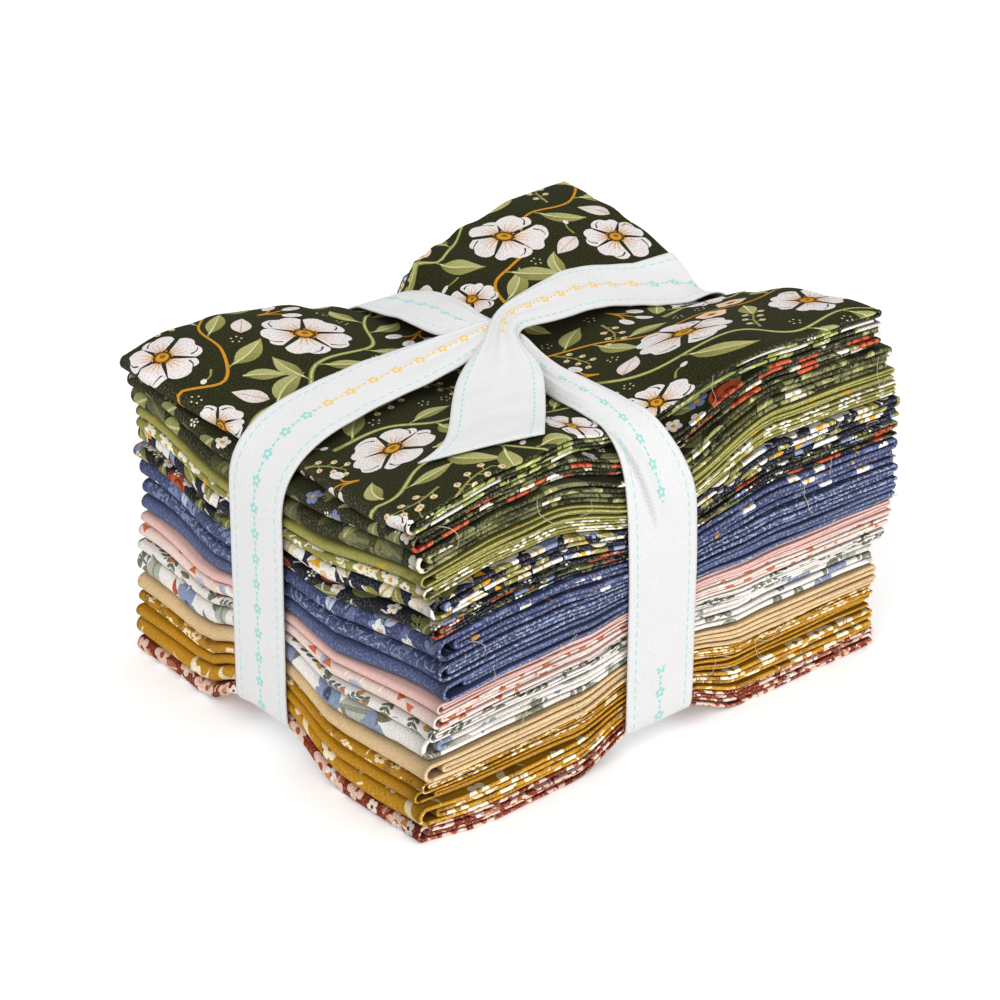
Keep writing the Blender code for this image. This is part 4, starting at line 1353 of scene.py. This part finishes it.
def ribbon(material):
    cloud = np.vstack([places(packet, CLOUD_Q, CLOUD_R) for packet in STACK])
    strands = [
        strand(cloud, 1, ARM_LEFT, ARM_RIGHT_AND_TAIL, lean=-0.0016, shift=0.004, crossing=0.0),
        strand(cloud, 0, ARM_FRONT, ARM_BACK, lean=-0.0018, shift=0.0, crossing=TAPE_CROSSING),
    ]
    points, faces, flat = [], [], []
    count, length = 0, 0.0
    for wide, marks in strands:
        way = length + walked(wide[:, TAPE_COLUMNS // 2])
        length = way[-1]
        faces.append(grid_faces(*wide.shape[:2]) + count)
        points.append(wide.reshape(-1, 3))
        count += len(points[-1])
        flat.append(pairs(*np.meshgrid(way, marks * RIBBON_WIDTH / 2, indexing="ij")))
    flat = np.vstack(flat)
    maps = {"cloth": flat, "OFBake": flat / (length, RIBBON_WIDTH) + (0, 0.5)}
    made = add_mesh("tied_ribbon", np.vstack(points), np.vstack(faces), maps, [material])
    thick = made.modifiers.new("thickness", "SOLIDIFY")
    thick.thickness = TAPE_THICKNESS
    thick.offset = 0
    return made


# How many threads are tried, and each one's radius, points, reach to a ridge and distance from the
# ribbon's middle.
THREADS = 44
THREAD_RADIUS = 0.00009
THREAD_STEPS = 16
THREAD_REACH = 0.0016
THREAD_GAP = 0.0125


def frayed_threads(material):
    """Loose threads that lie over the front folds, clear of the ribbon."""
    draw = random.Random(11)
    q = np.concatenate([k + np.linspace(0, 1, 90) for k in (0, 2, 4, 6)])
    ridges = [places(packet, q, (1.25, 1.5, 1.75, 5.5)) for packet in STACK]
    ridge = np.vstack(ridges)
    points, faces, count = [], [], 0
    last = THREAD_STEPS - 1
    for _ in range(THREADS):
        start = ridges[draw.randrange(1, len(ridges))]
        start = start[draw.randrange(len(start))]
        turn = draw.choice((0, math.pi)) + draw.uniform(-0.9, 0.9)
        length = draw.uniform(0.004, 0.013)
        bend = draw.uniform(-2.2, 2.2)
        line, at = [], np.array([start[0], start[2]])
        for k in range(THREAD_STEPS):
            near = np.hypot(*(ridge[:, (0, 2)] - at).T) < THREAD_REACH
            if not near.any() or abs(at[0] + 0.001) < THREAD_GAP:
                break
            proud = 0.0002 + 0.0011 * math.sin(k / last * math.pi) ** 2 * draw.uniform(0.8, 1)
            line.append([at[0], ridge[near, 1].min() - proud, at[1]])
            at = at + heading(turn) * length / last
            turn += bend / last + draw.uniform(-0.16, 0.16)
        if len(line) < 6:
            continue
        line = np.array(line)
        for _ in range(2):
            line[1:-1] = (line[:-2] + 2 * line[1:-1] + line[2:]) / 4
        ahead = directions(line)
        side = np.cross(ahead, (0, -1, 0))
        other = np.cross(ahead, side)
        turns = (0.0, 1.57, 3.14, 4.71, 6.28)
        ring = [line + (side * math.cos(a) + other * math.sin(a)) * THREAD_RADIUS for a in turns]
        tube = np.stack(ring, 1)
        points.append(tube.reshape(-1, 3))
        faces.append(grid_faces(*tube.shape[:2]) + count)
        count += len(points[-1])
    # They have no print, so every point has the same place in the map.
    maps = {"cloth": np.zeros((count, 2))}
    return add_mesh("frayed_threads", np.vstack(points), np.vstack(faces), maps, [material])


def thread_cotton():
    made, tree, shader = new_material("thread", 0.9, 0.1, 0.0)
    feed(tree, shader.inputs["Base Color"], "bfb096")
    return made


STACK = packets()
threads = frayed_threads(thread_cotton())
for packet in STACK:
    if packet.is_top:
        piece = top_fat_quarter(packet, cotton(packet.slot), cotton(packet.slot, True))
    else:
        piece = fat_quarter(packet, cotton(packet.slot))
    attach(piece, "root")
    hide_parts(packet.name)
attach(threads, "root")
tape = ribbon(twill())
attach(tape, "root")
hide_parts("ribbon")

# The camera, at the photograph's place.
scene = bpy.context.scene
camera = bpy.data.objects.new("camera", bpy.data.cameras.new("camera"))
scene.collection.objects.link(camera)
camera.data.lens = 89.26
camera.data.sensor_width = 36
axes = Matrix(((0.7731, -0.6343, 0), (0.2807, 0.3421, 0.8968), (-0.5688, -0.6933, 0.4425))).transposed()
place = Vector((-0.34210, -0.41616, 0.30682)) + Vector(SHIFT)
camera.matrix_world = Matrix.Translation(place) @ axes.to_4x4()
scene.camera = camera

# The floor and the light.
data = bpy.data.meshes.new("floor")
data.from_pydata([(-3, -3, 0), (3, -3, 0), (3, 3, 0), (-3, 3, 0)], [], [(0, 1, 2, 3)])
floor = bpy.data.objects.new("floor", data)
scene.collection.objects.link(floor)
data.materials.append(studio_floor())

# Each light's place, size and power. All point at the bundle's middle.
LIGHTS = {
    "key": ((-0.9, -0.5, 1.1), 0.9, 8.5),
    "fill": ((0.5, -1.2, 0.7), 1.0, 6.6),
    "over": ((0.1, 0.2, 1.5), 1.2, 4.7),
}
for name, (place, size, power) in LIGHTS.items():
    lamp = bpy.data.lights.new(name, "AREA")
    lamp.size = size
    lamp.energy = power
    made = bpy.data.objects.new(name, lamp)
    scene.collection.objects.link(made)
    made.location = place
    made.rotation_euler = (Vector((0, 0, 0.04)) - Vector(place)).to_track_quat("-Z", "Y").to_euler()
world = bpy.data.worlds.new("studio")
world.use_nodes = True
backdrop = world.node_tree.nodes["Background"]
backdrop.inputs["Color"].default_value = (1, 1, 1, 1)
backdrop.inputs["Strength"].default_value = 0.57
scene.world = world
scene.view_settings.view_transform = "Standard"
